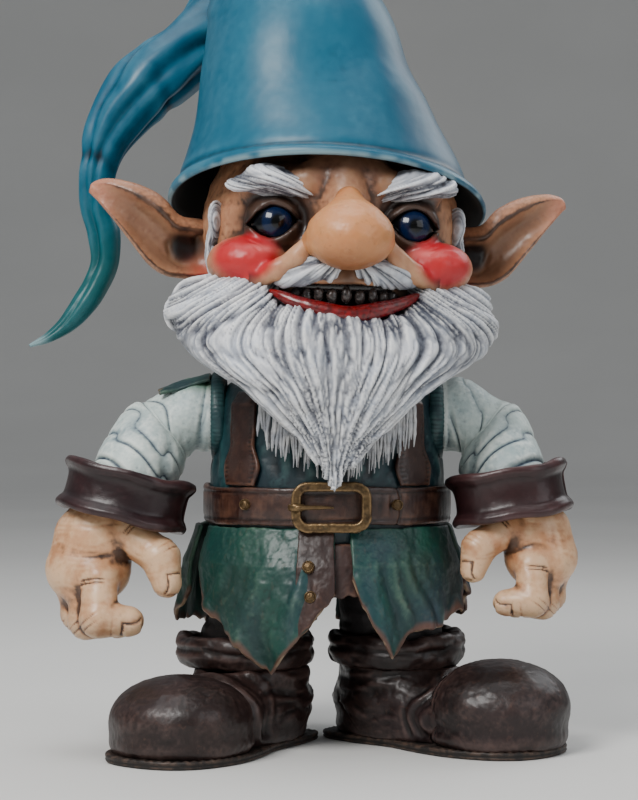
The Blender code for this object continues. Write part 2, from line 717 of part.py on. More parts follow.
# Peak and tail: centre line and radius, from the crown's last section over the back to the curled tip
TAIL = (
    ((-0.0420, 0.0370, 0.5430), 0.0295),
    ((-0.0470, 0.0530, 0.5520), 0.0260),
    ((-0.0530, 0.0700, 0.5480), 0.0238),
    ((-0.0590, 0.0820, 0.5300), 0.0230),
    ((-0.0660, 0.0840, 0.5080), 0.0232),
    ((-0.0770, 0.0770, 0.4870), 0.0235),
    ((-0.0920, 0.0660, 0.4690), 0.0238),
    ((-0.1090, 0.0565, 0.4535), 0.0234),
    ((-0.1250, 0.0510, 0.4385), 0.0222),
    ((-0.1390, 0.0480, 0.4210), 0.0190),
    ((-0.1510, 0.0460, 0.3980), 0.0150),
    ((-0.1555, 0.0460, 0.3760), 0.0128),
    ((-0.1560, 0.0460, 0.3560), 0.0125),
    ((-0.1515, 0.0450, 0.3370), 0.0122),
    ((-0.1510, 0.0440, 0.3190), 0.0100),
    ((-0.1570, 0.0420, 0.3030), 0.0088),
    ((-0.1650, 0.0400, 0.2890), 0.0086),
    ((-0.1760, 0.0380, 0.2760), 0.0068),
    ((-0.1885, 0.0360, 0.2670), 0.0042),
    ((-0.2010, 0.0350, 0.2615), 0.0012),
)


def crown_ring(section, index, inset=0.0, count=20):
    (x0, z0), (x1, z1), y, depth = section
    across = Vector((x1 - x0, 0, z1 - z0))
    tilt = BRIM_TILT * max(0.0, 1 - index / 5)
    back = Vector((0, math.cos(tilt), -math.sin(tilt)))
    centre = Vector(((x0 + x1) / 2, y, (z0 + z1) / 2))
    return ring(centre, across.length / 2 - inset, depth - inset, across, back, count=count)


def make_hat():
    rings = [crown_ring(section, i) for i, section in enumerate(CROWN)]
    crown = add_part("hat_crown", loft("crown", rings, capped=False), "hat", "hat")
    add_modifier(crown, "SOLIDIFY", thickness=CROWN_THICK, offset=-1.0)
    crown = baked(crown)

    seam = crown_ring(CROWN[-1], len(CROWN) - 1)
    middle = sum(seam, Vector()) / len(seam)
    away = (Vector(TAIL[0][0]) - middle).normalized()
    tail_rings = [[point + away * 2 * GAP for point in seam]]
    across = (seam[0] - middle).normalized()
    for i, (centre, radius) in enumerate(TAIL):
        before = Vector(TAIL[i - 1][0]) if i else middle
        after = Vector(TAIL[min(i + 1, len(TAIL) - 1)][0])
        along = (after - before).normalized()
        across = (across - along * across.dot(along)).normalized()  # carried along without twist
        tail_rings.append(ring(centre, radius, radius, across, along.cross(across)))
    add_part("hat_tail", loft("tail", tail_rings), "hat", "hat")

    band_rings = []
    for z in (0.384, 0.400):
        band_rings.append(ring((0, 0, z), 0.093, 0.093, count=20))
    band = add_part("hat_headband", loft("band", band_rings), "lining", "hat")
    return band


def fit_headband(band, uncut):
    """The foam band fills the room between the head and the crown, and carries the hat."""
    inside = [crown_ring(section, i, CROWN_THICK + GAP) for i, section in enumerate(CROWN[:7])]
    core = add_guide("band_core", loft("core", inside), "hat")
    add_modifier(band, "BOOLEAN", operation="INTERSECT", object=core)
    cut(band, uncut, FACE_GAP)


# ---------------------------------------------------------------- arms

ARMS = {  # elbow, wrist, palm centre and size of the hand
    "right": {"sign": -1, "elbow": (-0.112, -0.006, 0.203), "wrist": (-0.130, -0.028, 0.169), "size": 0.89,
              "lean": 0.23, "cuff": (-0.1305, -0.034, 0.1630), "cuff_r": 0.0425},
    "left": {"sign": 1, "elbow": (0.108, -0.004, 0.202), "wrist": (0.117, -0.026, 0.171), "size": 0.77,
             "lean": -0.17, "cuff": (0.1175, -0.034, 0.1640), "cuff_r": 0.0390},
}
# Hand blobs relative to the wrist, for the right hand: x grows away from the body
PALM = (
    ((0.022, -0.002, -0.028), (0.029, 0.024, 0.024)),
    ((0.026, -0.004, -0.052), (0.031, 0.026, 0.027)),
)
FINGERS = (  # knuckle, middle joint, tip, start and end radius
    ((0.016, -0.024, -0.058), (0.016, -0.033, -0.086), (-0.005, -0.031, -0.088), 0.0130, 0.0112),
    ((0.028, -0.010, -0.062), (0.026, -0.018, -0.089), (0.004, -0.015, -0.091), 0.0128, 0.0105),
    ((0.038, 0.006, -0.060), (0.034, 0.002, -0.086), (0.012, 0.001, -0.090), 0.0122, 0.0100),
    ((0.038, 0.018, -0.054), (0.034, 0.017, -0.076), (0.014, 0.017, -0.082), 0.0110, 0.0090),
)
THUMB = ((-0.002, -0.012, -0.026), (-0.027, -0.021, -0.043), (-0.032, -0.025, -0.061), 0.0138, 0.0108)
CUFF_FLATNESS = 0.86  # a cuff's depth over its width
THUMB = ((-0.004, -0.010, -0.030), (-0.026, -0.022, -0.048), (-0.036, -0.026, -0.074), 0.0140, 0.0110)


def hand_spot(plan, offset):
    wrist, size = Vector(plan["cuff"]), plan["size"]
    return wrist + Vector((plan["sign"] * offset[0], offset[1], offset[2])) * size


def make_sleeve(side, plan):
    sign = plan["sign"]
    start = Vector((sign * SHOULDER_X, 0, SHOULDER_Z))
    stops = (
        (start, (sign, 0, 0), SHOULDER_R),
        (start + Vector((sign * 0.014, -0.001, 0)), (sign, 0, -0.1), SHOULDER_R + 0.001),
        (start.lerp(Vector(plan["elbow"]), 0.8), (sign, -0.1, -0.5), SHOULDER_R - 0.0005),
        (Vector(plan["elbow"]), (sign * 0.8, -0.4, -0.9), 0.0255),
        (Vector(plan["elbow"]).lerp(Vector(plan["wrist"]), 0.5), (sign * 0.4, -0.4, -1), 0.0275),
        (Vector(plan["wrist"]), (sign * 0.3, -0.2, -1), 0.0265),
    )
    rings = []
    for centre, along, radius in stops:
        along = Vector(along).normalized()
        across = along.cross(Vector((0, 1, 0))).normalized()
        rings.append(ring(centre, radius, radius, across, along.cross(across), count=18))
    return add_part(f"sleeve_{side}", loft("sleeve", rings), "shirt", f"{side}_arm")


def make_cuff(side, plan, sleeve):
    """A flared leather cuff with rolled edges."""
    axis = Vector((math.sin(plan["lean"]), 0.08, math.cos(plan["lean"]))).normalized()
    across = axis.cross(Vector((0, 1, 0))).normalized()
    rings = []
    for along, shrink in ((-0.0150, 0.004), (-0.0125, 0.0), (-0.004, 0.0035), (0.005, 0.0035),
                          (0.0125, 0.0), (0.0150, 0.004)):
        radius = plan["cuff_r"] - shrink
        centre = Vector(plan["cuff"]) + axis * along
        rings.append(ring(centre, radius, radius * CUFF_FLATNESS, across, axis.cross(across), count=22))
    cuff = add_part(f"cuff_{side}", loft("cuff", rings), "leather", f"{side}_arm")
    cut(cuff, sleeve)
    return cuff


def make_hand(side, plan, cuff):
    size = plan["size"]
    bm = bmesh.new()
    for offset, radii in PALM:
        add_blob(bm, hand_spot(plan, offset), [r * size for r in radii])
    for knuckle, middle, tip, start_r, end_r in (*FINGERS, THUMB):
        limb(bm, hand_spot(plan, knuckle), hand_spot(plan, middle), start_r * size, start_r * size, 4)
        limb(bm, hand_spot(plan, middle), hand_spot(plan, tip), start_r * size, end_r * size, 4)
    hand = fused(f"hand_{side}", bm, "skin", f"{side}_arm", 0.0045, 0.22)
    cut(cuff, hand)


def make_arm(side, torso):
    plan = ARMS[side]
    sign = plan["sign"]
    sleeve = make_sleeve(side, plan)
    peg = cylinder(
        f"shoulder_peg_{side}", (sign * PEG_INNER_X, 0, SHOULDER_Z), (sign * PEG_OUTER_X, 0, SHOULDER_Z),
        PEG_R, "steel", "body", 20,
    )
    cut(sleeve, peg, 0.0004)
    cut(torso, peg)
    sleeve = baked(sleeve)
    cuff = make_cuff(side, plan, sleeve)
    make_hand(side, plan, cuff)


def make_shoulder_cape():
    """The short green cape over the right upper arm."""
    sign = -1
    start = Vector((sign * (SHOULDER_X + 0.001), 0, SHOULDER_Z))
    end = Vector(ARMS["right"]["elbow"]) + Vector((-0.002, 0, 0.0))

    def place(u, v):
        angle = math.radians(60 + 105 * u)  # from the front over the top to the back
        centre = start.lerp(end, 0.86 * v)
        radius = SHOULDER_R + 0.0032
        return centre + Vector((0, -math.cos(angle) * radius, math.sin(angle) * radius))

    cape = patch("shoulder_cape", place, 6, 4, 0.002, "coat", "right_arm")
    cut(cape, bpy.data.objects["sleeve_right"])


# ---------------------------------------------------------------- assembly

torso = make_torso()
post = make_neck(torso)
make_belt()
make_buckle()
make_stud("belt_stud_right", -0.052, BELT_MID + 0.001)
make_stud("belt_stud_left", 0.044, BELT_MID + 0.001)
make_brace("brace_right", -1)
make_brace("brace_left", 1)

make_tail("coat_tail_front_right", -70, 3, HEM["front_right"])
make_tail("coat_tail_front_left", 10, 74, HEM["front_left"])
make_tail("coat_tail_back_right", -176, -74, HEM["back_right"], out=0.004)
make_tail("coat_tail_back_left", 78, 176, HEM["back_left"])
make_tail("centre_flap", -10, 22, HEM["centre"], columns=4, out=-0.0042, top=0.1340)
make_button("button_upper", math.radians(-7.5), 0.1205)
make_button("button_lower", math.radians(-6.5), 0.1020)

make_seat()
for boot_side in ("right", "left"):
    boot_cuff, ankle_spot = make_boot(boot_side)
    make_leg(boot_side, boot_cuff, ankle_spot)

head, head_uncut = make_head(post)
head = make_eyes(head)
make_teeth(head)
make_face(head_uncut)
make_ears(head_uncut)
beard = make_beard(head_uncut)
make_lip(head_uncut, beard)
make_fringe(beard)
fit_headband(make_hat(), head_uncut)

for arm_side in ("right", "left"):
    make_arm(arm_side, torso)
make_shoulder_cape()

BODY["head"].rotation_euler.z = HEAD_TURN


def move_origin_under_middle():
    """Puts the figure's origin under the middle of its bounding box."""
    bpy.context.view_layer.update()
    graph = bpy.context.evaluated_depsgraph_get()
    corners = []
    for obj in PARTS.objects:
        if obj.type != "EMPTY":
            done = obj.evaluated_get(graph)
            corners += [done.matrix_world @ v.co for v in done.to_mesh().vertices]
            done.to_mesh_clear()
    for axis in (0, 1):
        values = [corner[axis] for corner in corners]
        ROOT.location[axis] = -(min(values) + max(values)) / 2
    bpy.context.view_layer.update()


move_origin_under_middle()
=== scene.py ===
"""Garden gnome: the painted, sculpted surfaces of every casting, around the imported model.

Metres. Every piece is modelled upright and facing -Y, with the neck axis at x = y = 0. The head's pieces
are then turned and leaned about the neck; the others are only shifted to where the neck stands.
"""

import functools
import json
import math

import bpy
import numpy as np
from mathutils import Matrix, Vector


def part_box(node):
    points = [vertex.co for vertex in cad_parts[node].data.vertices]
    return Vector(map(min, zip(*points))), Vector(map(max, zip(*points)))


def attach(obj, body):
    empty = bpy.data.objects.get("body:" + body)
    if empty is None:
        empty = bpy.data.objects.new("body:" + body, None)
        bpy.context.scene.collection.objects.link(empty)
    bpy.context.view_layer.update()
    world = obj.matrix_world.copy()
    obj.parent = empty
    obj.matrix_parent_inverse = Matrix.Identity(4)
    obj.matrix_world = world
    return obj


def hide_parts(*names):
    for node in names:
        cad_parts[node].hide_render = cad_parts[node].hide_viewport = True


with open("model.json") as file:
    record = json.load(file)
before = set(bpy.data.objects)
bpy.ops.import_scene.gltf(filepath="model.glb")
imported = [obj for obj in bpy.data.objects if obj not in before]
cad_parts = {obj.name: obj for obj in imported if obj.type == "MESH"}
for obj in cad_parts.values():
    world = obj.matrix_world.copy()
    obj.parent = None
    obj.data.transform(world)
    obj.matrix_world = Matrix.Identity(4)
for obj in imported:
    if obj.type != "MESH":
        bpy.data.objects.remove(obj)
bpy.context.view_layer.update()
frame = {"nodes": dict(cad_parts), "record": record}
JOINTS = {joint["name"]: joint for joint in frame["record"]["behaviour"]["joints"]}
NECK = Vector(JOINTS["head_turn"]["pos_m"])
SHIFT = np.array([NECK.x, NECK.y, 0.0])
HEAD_TURN, HEAD_LEAN = math.radians(6.0), math.radians(1.5)
HEAD_MATRIX = np.array(
    Matrix.Translation(NECK) @ Matrix.Rotation(HEAD_TURN, 4, "Z") @ Matrix.Rotation(HEAD_LEAN, 4, "Y")
    @ Matrix.Translation((0, 0, -NECK.z))
)

SIDES = (("right", -1), ("left", 1))  # the gnome's own sides, and the sign of their x

# ---------------------------------------------------------------- noise


def lattice(i, j, k, seed):
    """A repeatable random number from -1 to 1 for each lattice point."""
    mixed = (i * 374761393 + j * 668265263 + k * 1440662683 + seed * 1274126177) & 0xFFFFFFFF
    mixed = ((mixed ^ (mixed >> 13)) * 1274126177) & 0xFFFFFFFF
    return (mixed ^ (mixed >> 16)) / 2**31 - 1.0


def noise(points, seed=0):
    """Smooth value noise at each point, from -1 to 1."""
    cell = np.floor(points).astype(np.int64)
    share = points - cell
    share = share * share * (3 - 2 * share)
    total = 0.0
    for corner in range(8):
        step = np.array([corner & 1, corner >> 1 & 1, corner >> 2])
        weight = np.prod(np.where(step, share, 1 - share), axis=-1)
        spot = cell + step
        total = total + weight * lattice(spot[..., 0], spot[..., 1], spot[..., 2], seed)
    return total


def rough(points, seed=0, octaves=3):
    """Noise with finer noise on it."""
    return sum(noise(points * 2.03**i, seed + i) * 0.5**i for i in range(octaves))


def stacked(*values):
    """Coordinates side by side, stretched to one shape."""
    return np.stack(np.broadcast_arrays(*values), -1)


def plane_noise(u, v, seed=0, octaves=2):
    """Noise over two coordinates."""
    return rough(stacked(u, v, 0.5), seed, octaves)


def full_turn(count):
    """Angles all the way round, without the last."""
    return np.linspace(0, 2 * math.pi, count, endpoint=False)


def unit(vectors):
    """Vectors made 1 long."""
    return vectors / np.linalg.norm(vectors, axis=-1, keepdims=True)


def squarish(wave, power):
    """A sine or cosine drawn out towards a square wave."""
    return np.sign(wave) * np.abs(wave) ** power


def apart(points, centre, radii=1.0):
    """How far points are from a centre, in radii."""
    return np.linalg.norm((points - centre) / radii, axis=1)


def step_between(low, high, value):
    """0 at low and 1 at high, with a smooth way between."""
    share = np.clip((value - low) / (high - low), 0, 1)
    return share * share * (3 - 2 * share)


def bump(value, centre, width):
    """1 at the centre, falling off on both sides."""
    return np.exp(-(((value - centre) / width) ** 2))


# ---------------------------------------------------------------- fields, whose zero is a surface


def ball(p, centre, radii, turn=(0.0, 0.0, 0.0)):
    """An ellipsoid's distance field."""
    q = p - np.asarray(centre, np.float32)
    if any(turn):
        q = q @ np.array(Matrix.Rotation(turn[2], 3, "Z") @ Matrix.Rotation(turn[1], 3, "Y")
                         @ Matrix.Rotation(turn[0], 3, "X"), np.float32)
    radii = np.asarray(radii, np.float32)
    near = np.linalg.norm(q / radii, axis=-1)
    return near * (near - 1) / np.maximum(np.linalg.norm(q / radii**2, axis=-1), 1e-6)


def rod(p, start, end, start_r, end_r):
    """A tapered rod with round ends."""
    start, end = np.asarray(start, np.float32), np.asarray(end, np.float32)
    along = end - start
    share = np.clip(((p - start) @ along) / max(along @ along, 1e-9), 0, 1)
    gap = np.linalg.norm(p - start - share[..., None] * along, axis=-1)
    return gap - (start_r + (end_r - start_r) * share)


def chain(p, stops, soft):
    """Rods through stops of point and radius, blended."""
    return joined([rod(p, a, b, ra, rb) for (a, ra), (b, rb) in zip(stops, stops[1:])], soft)


def join(a, b, soft):
    """Union with a fillet."""
    share = np.clip(0.5 + 0.5 * (b - a) / soft, 0, 1)
    return b + (a - b) * share - soft * share * (1 - share)


def joined(pieces, soft):
    """Union of several, each with a fillet."""
    return functools.reduce(lambda a, b: join(a, b, soft), pieces)


def carve_out(a, b, soft):
    """b taken out of a, with a rounded edge."""
    return -join(-a, b, soft)


CORNERS = [(i, j, k) for i in (0, 1) for j in (0, 1) for k in (0, 1)]
CELL_EDGES = [(a, b) for a in range(8) for b in range(8) if a < b and bin(a ^ b).count("1") == 1]


def skin_of(field, low, high, pitch):
    """Vertices and quads of a field's zero surface, by surface nets."""
    low, high = np.asarray(low, float), np.asarray(high, float)
    axes = [np.arange(low[i], high[i] + pitch, pitch, dtype=np.float32) for i in range(3)]
    value = field(np.stack(np.meshgrid(*axes, indexing="ij"), -1)).astype(np.float32)
    inside = value < 0
    n = np.array(value.shape) - 1
    count = sum(inside[i:i + n[0], j:j + n[1], k:k + n[2]].astype(np.int8) for i, j, k in CORNERS)
    cells = np.argwhere((count > 0) & (count < 8))
    at_corner = np.stack([value[cells[:, 0] + i, cells[:, 1] + j, cells[:, 2] + k] for i, j, k in CORNERS], 1)
    total, hits = np.zeros((len(cells), 3)), np.zeros(len(cells))
    for a, b in CELL_EDGES:
        crossed = (at_corner[:, a] < 0) != (at_corner[:, b] < 0)
        share = np.where(crossed, at_corner[:, a] / (at_corner[:, a] - at_corner[:, b] + 1e-20), 0)
        spot = np.array(CORNERS[a]) + share[:, None] * (np.array(CORNERS[b]) - np.array(CORNERS[a]))
        total += np.where(crossed[:, None], spot, 0)
        hits += crossed
    vertices = low + (cells + total / hits[:, None]) * pitch
    index = np.full(n, -1, np.int64)
    index[tuple(cells.T)] = np.arange(len(cells))
    quads = []
    for axis in range(3):
        u, v = (axis + 1) % 3, (axis + 2) % 3
        ahead = np.roll(inside, -1, axis)
        crossed = inside != ahead
        spots = np.argwhere(crossed)
        spots = spots[(spots[:, axis] < n[axis]) & (spots[:, u] > 0) & (spots[:, v] > 0)
                      & (spots[:, u] < n[u]) & (spots[:, v] < n[v])]
        ring = []
        for du, dv in ((1, 1), (0, 1), (0, 0), (1, 0)):
            cell = spots.copy()
            cell[:, u] -= du
            cell[:, v] -= dv
            ring.append(index[tuple(cell.T)])
        quad = np.stack(ring, 1)
        flip = ~inside[tuple(spots.T)]
        quad[flip] = quad[flip][:, ::-1]
        quads.append(quad)
    return vertices, np.concatenate(quads)


# ---------------------------------------------------------------- meshes


def new_mesh(name, vertices, faces):
    """A smooth-shaded mesh from vertices and faces of one size."""
    mesh = bpy.data.meshes.new(name)
    vertices = np.asarray(vertices, np.float32).reshape(-1, 3)
    faces = np.asarray(faces, np.int32)
    mesh.vertices.add(len(vertices))
    mesh.vertices.foreach_set("co", vertices.ravel())
    mesh.loops.add(faces.size)
    mesh.loops.foreach_set("vertex_index", faces.ravel())
    mesh.polygons.add(len(faces))
    mesh.polygons.foreach_set("loop_start", np.arange(0, faces.size, faces.shape[1], dtype=np.int32))
    mesh.update(calc_edges=True)
    mesh.validate()
    mesh.shade_smooth()
    return mesh


FINE_HOLLOW, BROAD_HOLLOW = 0.00025, 0.0009  # depths that fill a hollow with the wash and painted shade


class Shape:
    """Vertices and quads, with the vertex normals and the smoothing that sculpting needs."""

    def __init__(self, vertices, faces):
        self.v = np.asarray(vertices, float).reshape(-1, 3)
        self.f = np.asarray(faces, np.int64)
        self.marks = {}
        self.creases = np.zeros(len(self.v))

    def normals(self):
        a, b, c, d = (self.v[self.f[:, i]] for i in range(4))
        face = np.cross(c - a, d - b)
        total = np.zeros_like(self.v)
        for i in range(4):
            np.add.at(total, self.f[:, i], face)
        return total / np.maximum(np.linalg.norm(total, axis=1), 1e-12)[:, None]

    def averaged(self, values, times):
        """Each vertex's value replaced by the mean of its neighbours', some times over."""
        ends = np.concatenate([self.f[:, [0, 1]], self.f[:, [1, 2]], self.f[:, [2, 3]], self.f[:, [3, 0]]])
        a, b = np.concatenate([ends[:, 0], ends[:, 1]]), np.concatenate([ends[:, 1], ends[:, 0]])
        degree = np.bincount(a, minlength=len(self.v))
        for _ in range(times):
            columns = [np.bincount(a, values[b, i], len(self.v)) for i in range(values.shape[1])]
            values = np.stack(columns, 1) / np.maximum(degree, 1)[:, None]
        return values

    def smooth(self, times):
        self.v = self.averaged(self.v, times)

    def push(self, amount):
        self.v = self.v + self.normals() * np.asarray(amount)[:, None]

    def groove(self, line, width, depth):
        """Presses a crease along a line of points, or raises a ridge with a negative depth."""
        points = curve_through(line, 8)
        low, high = points.min(0) - 4 * width, points.max(0) + 4 * width
        near = np.flatnonzero(((self.v > low) & (self.v < high)).all(1))
        if not len(near):
            return
        spots = self.v[near]
        best, where = np.full(len(near), 1e9), np.zeros(len(near))
        for i, (a, b) in enumerate(zip(points, points[1:])):
            along = b - a
            share = np.clip(((spots - a) @ along) / max(along @ along, 1e-12), 0, 1)
            gap = np.linalg.norm(spots - a - share[:, None] * along, axis=1)
            closer = gap < best
            best = np.where(closer, gap, best)
            where = np.where(closer, (i + share) / (len(points) - 1), where)
        strength = np.sin(np.pi * np.clip(where, 0.02, 0.98)) ** 0.5
        amount = np.zeros(len(self.v))
        profile = np.exp(-((best / width) ** 2)) * strength
        amount[near] = -depth * profile
        if depth > 0:
            self.creases[near] = np.maximum(self.creases[near], profile)
        self.push(amount)

    def grooves(self, side, rows):
        """Presses one side's creases, given for the +X side as a width, a depth and points."""
        for width, depth, *points in rows:
            self.groove([(side * x, y, z) for x, y, z in points], width, depth)

    def hollows(self, fine, broad, gain):
        """How sunken (above 0) or proud (below 0) each vertex is against the surface around it."""
        normal = self.normals()
        small = ((self.averaged(self.v, fine) - self.v) * normal).sum(1)
        large = ((self.averaged(self.v, broad) - self.v) * normal).sum(1)
        return (small / FINE_HOLLOW + large / BROAD_HOLLOW) * gain

    def mark(self, name, values):
        self.marks[name] = np.clip(values, 0, 1)

    def add(self, name, values):
        """Raises a mark to at least these values."""
        self.mark(name, np.maximum(self.marks[name], values))

    def wash_and_shade(self, fine, broad, gain):
        """Marks where a dark wash and painted shade gather in the hollows, and where the paint is rubbed
        pale.
        """
        hollow = self.hollows(fine, broad, gain)
        self.mark("wash_and_shade", hollow)
        self.mark("worn", -hollow)

    def place(self, matrix):
        self.v = self.v @ matrix[:3, :3].T + matrix[:3, 3]


def sculpted(field, low, high, pitch, smoothings):
    """A field's surface as a shape."""
    shape = Shape(*skin_of(field, low, high, pitch))
    shape.smooth(smoothings)
    return shape


def curve_through(points, steps=8):
    """A smooth curve through a few points."""
    p = np.asarray(points, float)
    if len(p) == 2:
        return p[0] + (p[1] - p[0]) * np.linspace(0, 1, steps)[:, None]
    ends = np.vstack([2 * p[0] - p[1], p, 2 * p[-1] - p[-2]])
    out = []
    for i in range(1, len(ends) - 2):
        a, b, c, d = ends[i - 1:i + 3]
        t = np.linspace(0, 1, steps, endpoint=False)[:, None]
        out.append(0.5 * (2 * b + (c - a) * t + (2 * a - 5 * b + 4 * c - d) * t**2
                          + (3 * b - a - 3 * c + d) * t**3))
    return np.vstack([*out, p[-1:]])


def smooth_table(table, count):
    """Rows of numbers, read at count even steps along a smooth curve through them."""
    fine = curve_through(table, 24)
    where = np.linspace(0, len(fine) - 1, count)
    return np.stack([np.interp(where, np.arange(len(fine)), fine[:, i]) for i in range(fine.shape[1])], 1)


def grid_shape(points, cap_high=True):
    """A skin over closed rows of points; each end is capped by a fan of quads to its middle."""
    rows, columns = points.shape[:2]
    vertices = points.reshape(-1, 3)
    index = np.arange(rows * columns).reshape(rows, columns)
    right = np.roll(index, -1, 1)
    faces = [np.stack([index[:-1], right[:-1], right[1:], index[1:]], -1).reshape(-1, 4)]
    extra = []
    for wanted, row, flip in ((True, index[0], True), (cap_high, index[-1], False)):
        if not wanted:
            continue
        middle = len(vertices) + len(extra)
        extra.append(vertices[row].mean(0))
        fan = np.stack([row[0::2], row[1::2], np.roll(row, -2)[0::2], np.full(len(row) // 2, middle)], 1)
        faces.append(fan[:, ::-1] if flip else fan)
    return Shape(np.vstack([vertices, extra]), np.concatenate(faces))


def finish_piece(name, shape, material, body, replaced=()):
    """Makes the object, hangs it on the body it rides on, and hides the CAD nodes it stands for."""
    if body == "head":
        shape.place(HEAD_MATRIX)
    else:
        shape.v = shape.v + SHIFT
    mesh = new_mesh(name, shape.v, shape.f)
    for mark, values in shape.marks.items():
        layer = mesh.attributes.new(mark, "FLOAT", "POINT")
        layer.data.foreach_set("value", values.astype(np.float32))
    obj = bpy.data.objects.new(name, mesh)
    bpy.context.scene.collection.objects.link(obj)
    mesh.materials.append(material)
    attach(obj, body)
    if replaced:
        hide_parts(*replaced)


# ---------------------------------------------------------------- paint


def srgb(*channels):
    """A colour as the eye picks it, in the shader's linear values."""
    return tuple(c / 12.92 if c <= 0.04045 else ((c + 0.055) / 1.055) ** 2.4 for c in channels) + (1.0,)


class Paint:
    """A painted casting: patchy colour, a dark wash and painted shade in its hollows, rubbed edges, grime and
    fine grain.
    """

    def __init__(self, name, roughness, coat, patch, metallic=0.0, subsurface=0.0, stretch=(1, 1, 1),
                 specular=0.5):
        self.material = bpy.data.materials.new(name)
        self.material.use_nodes = True
        self.tree = self.material.node_tree
        self.shader = self.tree.nodes["Principled BSDF"]
        for socket, value in (("Coat Weight", coat), ("Coat Roughness", 0.22), ("Metallic", metallic),
                              ("Specular IOR Level", specular), ("Subsurface Weight", subsurface),
                              ("Subsurface Scale", 0.004)):
            self.shader.inputs[socket].default_value = value
        self.coords = self.node("TexCoord", "Object", {})
        if stretch != (1, 1, 1):
            self.coords = self.node("Mapping", "Vector", {"Scale": stretch, "Vector": self.coords})
        self.patch = patch
        self.roughness = self.range_of(self.noise(patch * 2.7, 3), 0.3, 0.7, *roughness)

    def node(self, kind, output, inputs, **settings):
        """A new node's output. Each input is a value or another node's output."""
        node = self.tree.nodes.new(f"ShaderNode{kind}")
        for key, value in settings.items():
            setattr(node, key, value)
        for key, value in inputs.items():
            if isinstance(value, bpy.types.NodeSocket):
                self.tree.links.new(value, node.inputs[key])
            else:
                node.inputs[key].default_value = value
        return node.outputs[output]

    def noise(self, scale, detail=4, distortion=0.0):
        return self.node("TexNoise", "Fac", {"Scale": scale, "Detail": detail, "Distortion": distortion,
                                             "Vector": self.coords})

    def range_of(self, value, low, high, to_low=0.0, to_high=1.0):
        return self.node("MapRange", 0, dict(enumerate((value, low, high, to_low, to_high))))

    def mark(self, name):
        return self.node("Attribute", "Fac", {}, attribute_name=name)

    def math(self, operation, a, b):
        return self.node("Math", 0, {0: a, 1: b}, operation=operation)

    def over(self, colour, share):
        """Lays a colour over what is there, by a share from 0 to 1."""
        self.colour = self.node("Mix", 2, {0: share, 6: self.colour, 7: srgb(*colour)}, data_type="RGBA")
        return self

    def base(self, first, second):
        """Starts with two colours in patches."""
        self.colour = srgb(*first)
        return self.over(second, self.range_of(self.noise(self.patch), 0.35, 0.65))

    def tint(self, name, colour, strength=1.0):
        return self.over(colour, self.math("MULTIPLY", self.mark(name), strength))

    def uneven(self, name, colour, strength, unevenness):
        share = self.math("MULTIPLY", self.mark(name), unevenness)
        return self.over(colour, self.math("MULTIPLY", share, strength))

    # Darkens the hollows: partly the casting's dark wash, partly painted shade.
    def wash_and_shade(self, colour, strength=0.9, ragged=0.5):
        return self.uneven("wash_and_shade", colour, strength,
                           self.range_of(self.noise(self.patch * 5, 5), 0.35, 0.65, 1 - ragged, 1.0))

    def worn(self, colour, strength=0.7, broken=0.5):
        return self.uneven("worn", colour, strength,
                           self.range_of(self.noise(self.patch * 3, 5), broken - 0.08, broken + 0.1))

    def streaks(self, colour, scale, strength=0.4, low=0.5, high=0.7, distortion=0.6):
        return self.over(colour, self.range_of(self.noise(scale, 5, distortion), low, high, 0.0, strength))

    def specks(self, colour, scale=500, strength=0.25, low=0.62, high=0.7):
        return self.over(colour, self.range_of(self.noise(scale, 2), low, high, 0.0, strength))

    def grain(self, *layers):
        """Bump from noise layers of scale, height in metres and strength."""
        lower = {}
        for scale, height, strength in layers:
            lower = {"Normal": self.node("Bump", "Normal", {"Strength": strength, "Distance": height,
                                                            "Height": self.noise(scale, 4), **lower})}
        self.tree.links.new(lower["Normal"], self.shader.inputs["Normal"])
        return self

    def dull(self, name):
        """Takes the shine off where a mark is."""
        self.roughness = self.math("MAXIMUM", self.roughness, self.mark(name))
        return self

    def done(self):
        self.tree.links.new(self.roughness, self.shader.inputs["Roughness"])
        self.tree.links.new(self.colour, self.shader.inputs["Base Color"])
        return self.material


# In every paint below, the hollows take the wash colour: partly the casting's dark wash, partly painted
# shade.
SKIN = (
    Paint("painted_skin", (0.36, 0.52), 0.12, subsurface=0.06, patch=24)
    .base((0.74, 0.54, 0.41), (0.66, 0.45, 0.33)).wash_and_shade((0.13, 0.07, 0.05), 0.95, 0.2)
    # brown: painted shade in the sockets, on the forehead under the brim, under the nose and in the ears'
    # cups
    .worn((0.88, 0.7, 0.53), 0.35, 0.4).tint("brown_shade", (0.21, 0.135, 0.11), 0.92)
    # dark: painted shade in the eyes' corners, sockets and creases and in the ears' caves, and a dark line
    # round each eyeball
    .tint("dark", (0.055, 0.035, 0.035), 1.0).tint("red", (0.72, 0.02, 0.11), 0.95)
    # pale: a painted highlight on each cheek, and paler ends on the ears; mouth: painted shade in the mouth
    # and under the moustache
    .tint("pale", (0.93, 0.5, 0.48), 0.6).tint("mouth", (0.03, 0.015, 0.015), 1.0)
    .specks((0.35, 0.2, 0.14), 420, 0.1).grain((260, 0.0005, 0.2), (1300, 0.0002, 0.2)).dull("mouth")
    .done()
)
NOSE_SKIN = (
    Paint("polished_skin", (0.38, 0.5), 0.1, subsurface=0.08, patch=20)
    # brown: painted shade under the nose and where it meets the face
    .base((0.81, 0.57, 0.37), (0.75, 0.49, 0.3)).tint("brown_shade", (0.36, 0.19, 0.11), 0.85)
    .wash_and_shade((0.25, 0.12, 0.07), 0.8).worn((0.93, 0.76, 0.58), 0.25).specks((0.52, 0.3, 0.18), 300, 0.2)
    .grain((180, 0.0005, 0.15), (1500, 0.00015, 0.2)).done()
)
